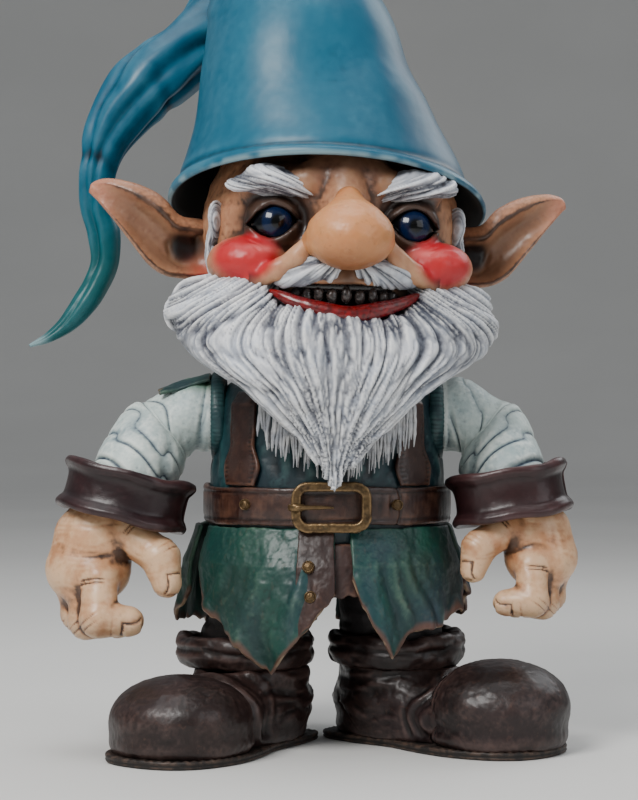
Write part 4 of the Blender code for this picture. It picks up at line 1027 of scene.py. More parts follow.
def make_ears():
    rows = smooth_table(EAR, 190)
    angle = full_turn(150)[None, :]
    for name, side in SIDES:
        reach, y, z, half, thick, cup = (rows[:, i][:, None] for i in range(6))
        up = np.cos(angle)
        front = -np.sin(angle)
        # the cup sits low behind a thick rolled rim, and its floor lies near the back of the ear
        inside = np.clip(1 - np.abs((up + 0.16) / 0.7) ** 2.6, 0, 1) ** 0.8 * cup
        depth = np.where(front < 0, front * thick * (1 - inside) + inside * thick * 0.62, front * thick)
        points = np.stack([side * (reach - 0.2 * up * half), y + depth + 0 * up, z + up * half], -1)
        shape = grid_shape(points[::-side])
        cupped = np.concatenate([(inside * (front < 0))[::-side].ravel(), [0, 0]])

        shape.grooves(side, EAR_RIDGES)
        shape.smooth(3)
        p = shape.v
        cave = apart(mirrored(p), (0.096, 0.004, 0.3235), (0.0105, 0.02, 0.011))
        shape.push(0.0002 * rough(p * 120, 4) + 0.0001 * rough(p * 420, 14))
        shape.wash_and_shade(4, 20, 0.8)
        # painted shade: dark in the cave next to the head, brown in the cup
        shape.mark("dark", (1 - step_between(0.6, 1.3, cave)) * np.clip(cupped * 1.5, 0, 1))
        shape.mark("brown_shade", np.clip(cupped * 1.3, 0, 1) * 0.65)
        shape.mark("red", 0.5 * bump(apart(mirrored(p), (0.083, 0.0, 0.308), (0.01, 0.02, 0.008)), 0, 1))
        shape.mark("pale", 0.25 * step_between(0.138, 0.157, np.abs(p[:, 0])))
        finish_piece(f"ear_{name}_skin", shape, SKIN, "head", (f"ear_{name}",))


make_head()
make_nose()
make_eyes()
for side_name, x_sign in SIDES:
    make_moustache(side_name, x_sign)
    make_sideburn(side_name, x_sign)
    make_eyebrow(side_name, x_sign)
make_beard()
make_fringe()
make_lip()
make_teeth()
make_ears()

# ---------------------------------------------------------------- hat

CROWN = (  # two opposite edge points in the x-z plane, y centre and half depth
    (-0.104, 0.3555, 0.104, 0.3475, 0.0, 0.104), (-0.099, 0.368, 0.094, 0.362, 0.0, 0.097),
    (-0.094, 0.382, 0.086, 0.38, 0.0, 0.09), (-0.089, 0.402, 0.076, 0.402, 0.001, 0.083),
    (-0.086, 0.423, 0.068, 0.423, 0.003, 0.077), (-0.084, 0.445, 0.056, 0.445, 0.005, 0.071),
    (-0.082, 0.463, 0.047, 0.468, 0.008, 0.065), (-0.081, 0.475, 0.037, 0.49, 0.011, 0.059),
    (-0.081, 0.485, 0.025, 0.51, 0.015, 0.053), (-0.0765, 0.501, 0.01, 0.527, 0.021, 0.046),
    (-0.068, 0.516, -0.008, 0.54, 0.028, 0.038),
)
BRIM_TILT = math.radians(15.0)
TAIL = (  # centre and radius
    (-0.042, 0.037, 0.543, 0.0295), (-0.047, 0.053, 0.552, 0.026), (-0.053, 0.07, 0.548, 0.0238),
    (-0.059, 0.082, 0.53, 0.023), (-0.066, 0.084, 0.508, 0.0232), (-0.077, 0.077, 0.487, 0.0235),
    (-0.092, 0.066, 0.469, 0.0238), (-0.109, 0.0565, 0.4535, 0.0234), (-0.125, 0.051, 0.4385, 0.0222),
    (-0.139, 0.048, 0.421, 0.019), (-0.151, 0.046, 0.398, 0.015), (-0.1555, 0.046, 0.376, 0.0128),
    (-0.156, 0.046, 0.356, 0.0125), (-0.1515, 0.045, 0.337, 0.0122), (-0.151, 0.044, 0.319, 0.01),
    (-0.157, 0.042, 0.303, 0.0088), (-0.165, 0.04, 0.289, 0.0086), (-0.176, 0.038, 0.276, 0.0068),
    (-0.1885, 0.036, 0.267, 0.0042), (-0.201, 0.035, 0.2615, 0.0012),
)


def hat_stations():
    """Centre, two axes and two half sizes of each section, from the brim to the tip of the tail."""
    rows = []
    for i, (x0, z0, x1, z1, y, depth) in enumerate(CROWN):
        across = np.array((x1 - x0, 0, z1 - z0))
        half = np.linalg.norm(across) / 2
        tilt = BRIM_TILT * max(0.0, 1 - i / 5)
        second = (0, math.cos(tilt), -math.sin(tilt))
        rows.append([(x0 + x1) / 2, y, (z0 + z1) / 2, *(across / half / 2), *second, half, depth])
    across = np.array(rows[-1][3:6])
    centres = [np.array(rows[-1][:3])] + [np.array(row[:3]) for row in TAIL]
    for i, row in enumerate(TAIL):
        along = unit(centres[min(i + 2, len(TAIL))] - centres[i])
        across = unit(across - along * (across @ along))
        rows.append([*row[:3], *across, *np.cross(along, across), row[3], row[3]])
    return rows


HAT_FOLDS = (  # angle, drift along the tail, width and depth
    (2.9, 1.2, 0.22, 0.2), (3.9, -0.8, 0.26, 0.22), (0.6, 1.5, 0.24, 0.16), (1.7, -1.0, 0.2, 0.16),
    (5.2, 0.9, 0.24, 0.2),
)
HAT_PINCHES = (  # share of the way to the tip, lean and depth
    (0.3, 0.5, 0.0022), (0.37, -0.4, 0.003), (0.445, 0.6, 0.0034), (0.5, -0.5, 0.0026),
    (0.62, 0.4, 0.002), (0.72, -0.4, 0.0016),
)
BAND_RADIUS = 0.0712


def make_hat():
    """The hat's crown and tail in one skin with an inner wall, and the foam band inside."""
    columns, per_station = 264, 13
    stations = smooth_table(hat_stations(), per_station * (len(CROWN) + len(TAIL) - 1))
    angle = full_turn(columns)[None, :, None]

    def rings(rows, inset=0.0):
        centre, first, second = rows[:, None, 0:3], rows[:, None, 3:6], rows[:, None, 6:9]
        half_u, half_v = rows[:, None, 9:10] - inset, rows[:, None, 10:11] - inset
        return centre + unit(first) * np.cos(angle) * half_u + unit(second) * np.sin(angle) * half_v

    outer = rings(stations)
    crown_rows = per_station * (len(CROWN) - 1)
    inner = rings(stations[:crown_rows:3], 0.0042)[::-1]
    down = unit(outer[0] - outer[2])
    roll = [inner[-1] * (1 - s) + outer[0] * s + down * 0.0022 * math.sin(math.pi * s)
            for s in (0.12, 0.35, 0.65, 0.88)]
    points = np.concatenate([inner, roll, outer])
    shape = grid_shape(points)
    inside = np.arange(len(shape.v)) < inner.shape[0] * columns
    row_of = np.repeat(np.arange(len(points)) - len(inner) - len(roll), columns)
    row_of = np.concatenate([row_of, [0, len(outer) - 1]])
    turn = np.concatenate([np.tile(angle[0, :, 0], len(points)), [0, 0]])
    share = np.clip(row_of / len(outer), 0, 1)
    tail_share = np.clip((row_of - crown_rows) / (len(outer) - crown_rows), 0, 1)
    # rolled brim, soft dents, then the long folds and the pinches of the peak and the tail
    size = np.interp(np.clip(row_of, 0, len(outer) - 1), np.arange(len(stations)), stations[:, 9])
    lift = 0.0016 * bump(row_of, 3.5, 4.5) - 0.0011 * bump(row_of, 13, 4.0)
    dents = 0.0028 * noise(shape.v * 14, 31) + 0.0009 * noise(shape.v * 30, 32)
    lift += dents * step_between(0.02, 0.12, share)
    folds = 0.0
    wander = 0.25 * noise(shape.v * 30, 5)
    for centre, drift, width, depth in HAT_FOLDS:
        gap = (turn - centre - drift * tail_share * 2 - wander + math.pi) % (2 * math.pi) - math.pi
        folds = folds - depth * bump(gap, 0, width) + 0.45 * depth * bump(gap, width * 1.9, width)
    lift += folds * size * np.interp(share, (0.18, 0.36, 0.42, 0.75, 0.97), (0.0, 0.22, 0.75, 0.8, 0.3))
    for at, lean, depth in HAT_PINCHES:
        pinch = bump(share, at + 0.012 * np.sin(turn + 3 * lean) * lean * 2, 0.01)
        lift -= depth * pinch * (0.5 + 0.5 * np.sin(turn + lean * 4))
    lift += 0.0006 * noise(shape.v * 55, 33) * step_between(0.3, 0.5, share)
    shape.push(np.where(inside, 0.0008 * noise(shape.v * 30, 34), lift))
    shape.push(np.where(inside, 0, 0.00007 * rough(shape.v * 200, 35)))
    shape.wash_and_shade(4, 18, 0.8)
    shape.mark("dark", inside | (row_of < -2))
    shape.mark("green", step_between(0.7, 0.86, share))
    rim = bump(row_of, -1.5, 2.2) * step_between(-0.35, 0.25, noise(shape.v * 130, 36))
    shape.mark("pale", np.maximum(rim, step_between(0.955, 0.985, share)))
    finish_piece("hat_felt", shape, HAT, "hat", ("hat_crown", "hat_tail"))

    turn, section = full_turn(220), full_turn(28)
    ring = np.stack([BAND_RADIUS * np.cos(turn), BAND_RADIUS * np.sin(turn), np.full(220, 0.392)], 1)
    side = squarish(np.cos(section), 0.6) * 0.0076
    rise = squarish(np.sin(section), 0.6) * 0.008
    out = ring / BAND_RADIUS * (1, 1, 0)
    ring = ring + (-0.0052, 0.0005, 0)
    band = ring[None] + out[None] * side[:, None, None] + np.array((0, 0, 1)) * rise[:, None, None]
    pad = closed_loop(band)
    pad.push(0.0006 * rough(pad.v * 140, 41))
    finish_piece("hat_band", pad, LINING, "hat", ("hat_headband",))


def closed_loop(points):
    """A ring whose rows close on themselves too, as on a hoop."""
    rows, columns = points.shape[:2]
    index = np.arange(rows * columns).reshape(rows, columns)
    right, above = np.roll(index, -1, 1), np.roll(index, -1, 0)
    both = np.roll(right, -1, 0)
    faces = np.stack([index, right, both, above], -1).reshape(-1, 4)
    shape = Shape(points, faces)
    middle = shape.v.mean(0)
    if ((shape.v - middle) * shape.normals()).sum() < 0:
        shape.f = shape.f[:, ::-1]
    return shape


def outward(shape):
    """Turns the faces so that the volume they enclose is above 0."""
    a, b, c, d = (shape.v[shape.f[:, i]] for i in range(4))
    volume = (np.cross(b - a, c - a) * (a + b + c)).sum() + (np.cross(c - a, d - a) * (a + c + d)).sum()
    if volume < 0:
        shape.f = shape.f[:, ::-1]
    return shape


# ---------------------------------------------------------------- torso, belt and braces

TORSO = ((0.112, 0.072, 0.06), (0.135, 0.077, 0.065), (0.172, 0.077, 0.066), (0.192, 0.075, 0.064),
         (0.222, 0.0735, 0.06), (0.237, 0.062, 0.05), (0.243, 0.036, 0.034))
SHOULDER = np.array((0.0755, 0.0, 0.2145))
BELT_LOW, BELT_HIGH = (corner[2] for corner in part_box("belt"))
BELT_MID, BELT_HALF_HEIGHT = (BELT_LOW + BELT_HIGH) / 2, (BELT_HIGH - BELT_LOW) / 2
BELT_W, BELT_D, BELT_THICK = 0.0816, 0.0706, 0.0042


def table_at(table, heights, column):
    """A column of a table whose first column is the height, read at some heights."""
    rows = np.array(sorted(table))
    return np.interp(heights, rows[:, 0], rows[:, column])


def on_shell(table, degrees, heights, out=0.0):
    """Points on a table's oval shell by front angle and height."""
    angle = np.radians(degrees)
    half_w, half_d = table_at(table, heights, 1) + out, table_at(table, heights, 2) + out
    return stacked(half_w * np.sin(angle), -half_d * np.cos(angle), heights)


def pillow(middle, thick):
    """A sheet round a grid of points, with rounded edges all round."""
    du, dv = np.gradient(middle, axis=1), np.gradient(middle, axis=0)
    normal = np.cross(du, dv)
    normal /= np.maximum(np.linalg.norm(normal, axis=-1, keepdims=True), 1e-12)
    rows, columns = middle.shape[:2]
    across = np.cumsum(np.linalg.norm(np.diff(middle, axis=1, prepend=middle[:, :1]), axis=-1), 1)
    along = np.cumsum(np.linalg.norm(np.diff(middle, axis=0, prepend=middle[:1]), axis=-1), 0)
    edge = np.minimum.reduce([across, across[:, -1:] - across, along, along[-1:] - along])
    round_off = np.sqrt(np.clip(1 - (1 - np.clip(edge / (thick * 0.6), 0, 1)) ** 2, 0, 1))[..., None]
    outer, inner = middle + normal * thick / 2 * round_off, middle - normal * thick / 2 * round_off
    front = np.arange(rows * columns).reshape(rows, columns)
    back = front.copy()
    back[1:-1, 1:-1] = rows * columns + np.arange((rows - 2) * (columns - 2)).reshape(rows - 2, columns - 2)
    faces = []
    for index, flip in ((front, False), (back, True)):
        quad = np.stack([index[:-1, :-1], index[:-1, 1:], index[1:, 1:], index[1:, :-1]], -1).reshape(-1, 4)
        faces.append(quad[:, ::-1] if flip else quad)
    vertices = np.concatenate([outer.reshape(-1, 3), inner[1:-1, 1:-1].reshape(-1, 3)])
    shape = Shape(vertices, np.concatenate(faces))
    shape.outer = np.arange(len(shape.v)) < rows * columns
    return outward(shape)


def spread(count, crowd=0.4):
    """Steps from 0 to 1 that crowd towards both ends."""
    t = np.linspace(0, 1, count)
    return (1 - crowd) * t + crowd * (1 - np.cos(math.pi * t)) / 2


def grid_values(values):
    """Values on a sheet's grid, for the vertices of both its faces."""
    return np.concatenate([values.ravel(), values[1:-1, 1:-1].ravel()])


def make_torso():
    """The vest: pleats over the belt, seams and a welt at the neck."""
    heights = np.linspace(0.1125, 0.2425, 190)[:, None]
    degrees = np.linspace(0, 360, 300, endpoint=False)[None, :]
    smooth = smooth_table(TORSO, 400)
    half_w = np.interp(heights, smooth[:, 0], smooth[:, 1])
    half_d = np.interp(heights, smooth[:, 0], smooth[:, 2])
    angle = np.radians(degrees)
    points = stacked(half_w * np.sin(angle), -half_d * np.cos(angle), heights)
    shape = outward(grid_shape(points))
    p = shape.v
    turn = np.degrees(np.arctan2(p[:, 0], -p[:, 1]))
    free = step_between(0.172, 0.185, p[:, 2]) * step_between(0.2425, 0.225, p[:, 2])
    pleats = 0.001 * np.sin(np.radians(turn) * 26 + 2 * noise(p * 30, 51))
    pleats = pleats * step_between(0.205, 0.176, p[:, 2])
    seams = bump(np.abs(turn), 90, 1.2) + bump(np.abs(turn), 180, 1.0) + 0.8 * bump(np.abs(turn), 140, 1.0)
    welt = bump(p[:, 2], 0.2385, 0.0015)
    shape.push(free * (pleats + 0.0008 * noise(p * 40, 52) - 0.001 * seams) + 0.0008 * welt
               + 0.0002 * rough(p * 260, 53))
    shape.wash_and_shade(3, 14, 0.9)
    shape.add("wash_and_shade", 0.7 * free * seams)
    finish_piece("vest_body", shape, VEST, "body", ("torso",))


def make_armhole_welts():
    """Rings that close the room between the vest and the sleeves."""
    around = full_turn(160)
    for name, side in SIDES:
        loops = []
        for step in full_turn(16):
            radius = 0.0268 + 0.0024 * math.cos(step)
            y, z = radius * np.cos(around), SHOULDER[2] + radius * np.sin(around)
            flat = np.sqrt(np.clip(1 - (y / table_at(TORSO, z, 2)) ** 2, 0.05, 1))
            near_x = np.maximum(table_at(TORSO, z, 1) * flat, 0.068) * 0.5 + 0.0325
            x = near_x + (0.0757 - near_x) * (0.5 + 0.5 * math.sin(step))
            loops.append(np.stack([side * x, y, z], 1))
        ring = outward(closed_loop(np.stack(loops)))
        twist = np.arctan2(ring.v[:, 2] - SHOULDER[2], ring.v[:, 1])
        ring.push(0.0003 * np.sin(twist * 60) + 0.0004 * noise(ring.v * 120, 54))
        ring.wash_and_shade(2, 6, 0.8)
        finish_piece(f"armhole_welt_{name}", ring, VEST, "body")


def make_belt_strap():
    """A leather strap round the waist, with pressed lines along its edges and holes."""
    section, turn = full_turn(44), full_turn(520)
    out = squarish(np.cos(section), 0.55) * BELT_THICK / 2
    rise = squarish(np.sin(section), 0.32) * BELT_HALF_HEIGHT
    sag = 0.0006 * np.sin(3 * turn + 1) + 0.0004 * np.sin(7 * turn)
    loops = [np.stack([(BELT_W - BELT_THICK / 2 + o) * np.sin(turn),
                       -(BELT_D - BELT_THICK / 2 + o) * np.cos(turn),
                       BELT_MID + z + sag], 1) for o, z in zip(out, rise)]
    shape = outward(closed_loop(np.stack(loops)))
    p = shape.v
    level = (p[:, 2] - BELT_MID) / BELT_HALF_HEIGHT
    angle = np.degrees(np.arctan2(p[:, 0], -p[:, 1]))
    lines = bump(np.abs(level), 0.7, 0.07)
    grain = plane_noise(angle * 0.9, level * 9, 61)
    lift = -0.0005 * lines + 0.00015 * grain + 0.00012 * rough(p * 180, 62)
    for at in (21.5, 27.5, 33.5):
        lift -= 0.0016 * bump(np.hypot((angle - at) * 0.00125, (level + 0.02) * BELT_HALF_HEIGHT), 0, 0.0012)
    lift -= 0.0016 * bump(angle, 39.5 + 2.2 * level**2 * -1, 0.5)
    shape.push(lift)
    shape.wash_and_shade(2, 8, 0.9)
    shape.add("wash_and_shade", 0.55 * lines)
    shape.add("worn", step_between(0.86, 0.97, np.abs(level)))
    finish_piece("belt_leather", shape, LEATHER, "body", ("belt",))


def sweep(path, half_a, half_b, up, power, closed=True):
    """A bar of rounded section along a flat path. up is the path's normal."""
    path = np.asarray(path, float)
    along = unit(np.roll(path, -1, 0) - np.roll(path, 1, 0) if closed else np.gradient(path, axis=0))
    up = np.broadcast_to(np.asarray(up, float), path.shape)
    side = np.cross(along, up)
    section = full_turn(24)
    a, b = squarish(np.cos(section), power), squarish(np.sin(section), power)
    half_a, half_b = np.broadcast_to(half_a, len(path)), np.broadcast_to(half_b, len(path))
    rows = (path[:, None] + side[:, None] * (half_a[:, None] * a)[..., None]
            + up[:, None] * (half_b[:, None] * b)[..., None])
    if closed:
        return outward(closed_loop(rows.transpose(1, 0, 2)))
    return outward(grid_shape(rows))


def dome(centre, normal, radius, height):
    """A domed button with a turned rim."""
    top = np.linspace(0.03, 1.0, 26)
    reach = np.concatenate([top, [1.0, 0.9, 0.5]])
    rise = height * np.sqrt(np.clip(1 - (top / 1.02) ** 2, 0, 1)) ** 0.8
    rise = np.concatenate([rise, [-0.001, -0.0016, -0.0016]])
    rim = 0.25 * height
    rise = rise + rim * bump(reach, 0.86, 0.09) - 0.5 * rim * bump(reach, 0.72, 0.06)
    turn = full_turn(48)
    first = np.array(Vector(normal).orthogonal().normalized())
    second = np.cross(normal, first)
    rows = (np.asarray(centre) + radius * reach[:, None, None]
            * (np.cos(turn)[None, :, None] * first + np.sin(turn)[None, :, None] * second)
            + rise[:, None, None] * np.asarray(normal))
    shape = outward(grid_shape(rows))
    shape.push(0.00015 * rough(shape.v * 500, 71))
    shape.wash_and_shade(2, 6, 0.6)
    return shape


def even_steps(line, count):
    """A closed line of points, read at even steps."""
    length = np.concatenate([[0], np.cumsum(np.linalg.norm(np.diff(line, axis=0), axis=1))])
    where = np.linspace(0, length[-1], count, endpoint=False)
    return np.stack([np.interp(where, length, line[:, i]) for i in range(3)], 1)


def rounded_path(half_w, half_h, corner, centre):
    """A rectangle with round corners, in the x-z plane."""
    points = []
    for quarter in range(4):
        sx, sz = (1, -1, -1, 1)[quarter], (1, 1, -1, -1)[quarter]
        for step in np.linspace(0, 1, 16):
            angle = math.pi / 2 * (quarter + step)
            points.append((centre[0] + sx * (half_w - corner) + corner * math.cos(angle), centre[1],
                           centre[2] + sz * (half_h - corner) + corner * math.sin(angle)))
    points = np.array(points)
    return even_steps(np.vstack([points, points[:1]]), 220)


def make_belt():
    make_belt_strap()
    front = -0.0738
    frame_path = rounded_path(0.0222, 0.013, 0.0075, (0.0025, front, BELT_MID))
    bar = sweep(frame_path, 0.0031, 0.0026, (0, 1, 0), 0.75)
    bar.push(0.0002 * rough(bar.v * 320, 72) - 0.0004 * bump(np.abs(bar.v[:, 1] - front), 0.0026, 0.0004))
    bar.wash_and_shade(2, 6, 0.8)
    finish_piece("buckle_frame", bar, BRONZE, "body", ("belt_buckle",))
    line = curve_through([(-0.02, front - 0.003, BELT_MID), (-0.0165, front - 0.0034, BELT_MID),
                          (-0.006, front - 0.0012, BELT_MID),
                          (0.004, front - 0.0002, BELT_MID - 0.0002)], 12)
    thick = np.interp(np.linspace(0, 1, len(line)), (0, 0.1, 0.7, 1), (0.0017, 0.0022, 0.0018, 0.0008))
    prong = sweep(line, thick, thick * 0.8, (0, 0, 1), 0.8, closed=False)
    collar = sweep([(-0.0197 + 0.0042 * math.cos(a), front + 0.0042 * math.sin(a), BELT_MID)
                    for a in full_turn(48)], 0.001, 0.0022, (0, 0, 1), 0.7)
    shape = merged_bare([prong, collar])
    shape.wash_and_shade(2, 6, 0.8)
    finish_piece("buckle_tongue", shape, BRONZE, "body", ("buckle_prong",))
    for name, x in (("belt_stud_right", -0.052), ("belt_stud_left", 0.044)):
        y = -BELT_D * math.sqrt(1 - (x / BELT_W) ** 2)
        normal = unit(np.array((x / BELT_W**2, y / BELT_D**2, 0)))
        stud = dome(np.array((x, y, BELT_MID + 0.001)) + normal * 0.0004, normal, 0.0036, 0.0026)
        finish_piece(f"{name}_cap", stud, BRONZE, "body", (name,))


def merged_bare(shapes):
    """Several shapes as one, whose marks are made afterwards."""
    for shape in shapes:
        shape.marks = {}
    return merged(shapes)


def make_braces():
    """Leather tabs that run from the belt up under the beard, wider near the foot."""
    for name, side in SIDES:
        heights = (0.1702 + (0.2302 - 0.1702) * spread(70))[:, None]
        share = (spread(26) - 0.5)[None, :] * 2
        tab = 1.0 + 0.38 * bump(heights, 0.182, 0.0095) - 0.1 * bump(heights, 0.196, 0.006)
        centre = math.degrees(math.asin(0.053 / 0.075))
        degrees = side * centre + share * np.degrees(0.008 * tab / 0.075 / math.cos(math.radians(centre)))
        middle = on_shell(TORSO, degrees, heights + 0 * share, 0.0027)
        shape = pillow(middle, 0.0032)
        level = grid_values(np.broadcast_to(share, middle.shape[:2]))
        height = grid_values(np.broadcast_to(heights, middle.shape[:2]))
        stitch = bump(np.abs(level), 0.74, 0.09)
        dashes = stitch * (np.sin(height * 2 * math.pi / 0.0028) > -0.2)
        lift = -0.0004 * stitch + 0.0004 * dashes + 0.00012 * rough(shape.v * 170, 81)
        lift += 0.0003 * plane_noise(level * 1.5, height * 90, 82)
        shape.push(np.where(shape.outer, lift, 0))
        shape.wash_and_shade(2, 7, 0.9)
        shape.add("worn", step_between(0.88, 1.0, np.abs(level)) * 0.8)
        finish_piece(f"brace_{name}_strap", shape, LEATHER, "body", (f"brace_{name}",))


# ---------------------------------------------------------------- coat tails

SKIRT = ((0.1438, 0.079, 0.066), (0.12, 0.087, 0.076), (0.09, 0.091, 0.081), (0.045, 0.093, 0.084))
HEMS = {  # angle from the front in degrees, and the height of the hem there
    "coat_tail_front_right": ((-70, 0.106), (-53, 0.085), (-43, 0.074), (-23, 0.052), (-14, 0.07),
                              (3, 0.102)),
    "coat_tail_front_left": ((10, 0.112), (14, 0.093), (25, 0.063), (35, 0.076), (46, 0.079), (66, 0.089),
                             (74, 0.105)),
    "coat_tail_back_right": ((-176, 0.07), (-150, 0.056), (-125, 0.074), (-100, 0.082), (-86, 0.079),
                             (-74, 0.1)),
    "coat_tail_back_left": ((78, 0.104), (100, 0.084), (125, 0.078), (150, 0.058), (176, 0.072)),
}


def coat_sheet(name, hem, top, thick, material, replaced, out, folds=1.0, size=(170, 150), seed=0, span=None):
    """A coat tail: folds that deepen downwards, and a ragged worn hem."""
    columns, rows = size
    first, last = span or (hem[0][0], hem[-1][0])
    degrees = (first + (last - first) * spread(columns, 0.25))[None, :]
    table = np.array(hem, float)
    low = np.interp(degrees, table[:, 0], table[:, 1])
    low = low + 0.0016 * noise(stacked(degrees * 0.33, 0, seed), 91)
    low = low + 0.0011 * np.abs(np.sin(degrees * 0.42 + seed))
    share = spread(rows, 0.3)[:, None]
    heights = low + (top - low) * share
    down = step_between(0.0, 0.045, top - heights)
    wave = plane_noise(degrees * 0.085 + 0.9 * noise(stacked(degrees * 0.05, heights * 25, 0), 92),
                       heights * 9, seed + 93, 2)
    curl = 0.0016 * np.sin(degrees * 0.3 + seed) * step_between(0.016, 0.0, heights - low)
    middle = on_shell(SKIRT, degrees + 0 * heights, heights, out + folds * (0.0032 * wave * down + curl))
    shape = pillow(middle, thick)
    near_hem = grid_values(heights - low)
    valley = grid_values(np.clip(-wave, 0, 1) * down)
    p = shape.v
    shape.push(np.where(shape.outer, 0.0006 * noise(p * 90, 94) + 0.0003 * rough(p * 230, 95), 0))
    shape.wash_and_shade(3, 12, 0.8)
    # painted shade in the valleys of the folds
    shape.add("wash_and_shade", 0.75 * valley)
    ragged = 0.0045 + 0.0035 * noise(p * 110, 96)
    shape.mark("hem", step_between(1.25, 0.35, near_hem / np.maximum(ragged, 0.0012)))
    shape.mark("pale", step_between(0.0014, 0.0, near_hem) * step_between(-0.3, 0.3, noise(p * 160, 97)))
    finish_piece(f"{name}_cloth", shape, material, "body", replaced)


def make_coat():
    for i, (name, hem) in enumerate(HEMS.items()):
        raised = 0.0055 if name == "coat_tail_back_right" else 0.0015
        coat_sheet(name, hem, 0.1437, 0.003, COAT, (name,), raised, seed=i * 7)
    coat_sheet("coat_placket", ((-15.5, 0.069), (-14, 0.071), (3, 0.1025)), 0.1434, 0.0018, PLACKET, (),
               0.0036, 0.55, (60, 120), 3, (-12.5, 2.8))
    coat_sheet("centre_flap", ((-10, 0.1005), (22, 0.1005)), 0.1338, 0.003, PLACKET, ("centre_flap",),
               -0.0027, 0.4, (60, 60), 5)
    for name, degrees, height in (("button_upper", -7.5, 0.1205), ("button_lower", -6.5, 0.102)):
        def skirt(turned=0.0, raised=0.0, out=0.0):
            return on_shell(SKIRT, np.array(degrees + turned), np.array(height + raised), out)

        spot = skirt(out=0.0046)
        across = skirt(2.0) - skirt(-2.0)
        upward = skirt(0.0, 0.004) - skirt(0.0, -0.004)
        normal = unit(np.cross(across, upward))
        button = dome(spot, normal, 0.004, 0.0028)
        finish_piece(f"{name}_dome", button, BRONZE, "body", (name,))


# ---------------------------------------------------------------- trousers and boots

BOOTS = {
    "right": {"heel": (-0.041, 0.0), "toe": (-0.092, -0.075), "ankle": (-0.054, -0.006), "cap": 0.027},
    "left": {"heel": (0.034, 0.016), "toe": (0.11, -0.043), "ankle": (0.046, 0.006), "cap": 0.03},
}
SOLE_OUTLINE = (  # distance from the heel, and half width
    (-0.032, 0.013), (-0.026, 0.025), (0.0, 0.031), (0.032, 0.033), (0.06, 0.041), (0.088, 0.045),
    (0.114, 0.04), (0.13, 0.028), (0.137, 0.011),
)
SOLE_RINGS = (  # inset and height
    (0.006, 0.0), (0.0018, 0.0001), (0.0006, 0.0007), (0.0002, 0.0016), (0.0009, 0.0024),
    (0.0003, 0.0032), (0.0001, 0.0042), (0.0005, 0.005), (0.0018, 0.0054), (0.0032, 0.0052),
    (0.009, 0.0051),
)
SOLE_THICK = 0.0052
LEG_COLUMNS = 260
SOLE_COLUMNS = 300
INSTEP = ((0.078, 0.0385, 0.022), (0.052, 0.0355, 0.0255), (0.03, 0.0335, 0.0275), (0.004, 0.0315, 0.0275))
HEEL_SEAM = ((0.01, 0.0335, 0.006), (-0.002, 0.0335, 0.02), (-0.012, 0.03, 0.034), (-0.016, 0.026, 0.049))
FOLD_PROFILE = (  # radius and height of the folded ankle cuff's section
    (0.033, 0.056, 0), (0.0375, 0.0512, 0), (0.0425, 0.0525, 0), (0.0452, 0.0585, 0), (0.044, 0.063, 0),
    (0.0452, 0.0665, 0), (0.0425, 0.0712, 0), (0.0375, 0.0715, 0), (0.0335, 0.068, 0),
)


def boot_turn(side):
    """The matrix that lays a boot along its heel and toe, and the distance between them."""
    heel, toe = np.array(BOOTS[side]["heel"]), np.array(BOOTS[side]["toe"])
    along = toe - heel
    length = np.linalg.norm(along)
    along = along / length
    matrix = np.eye(4)
    matrix[:2, 0], matrix[:2, 1], matrix[:2, 3] = along, (-along[1], along[0]), heel
    return matrix, length


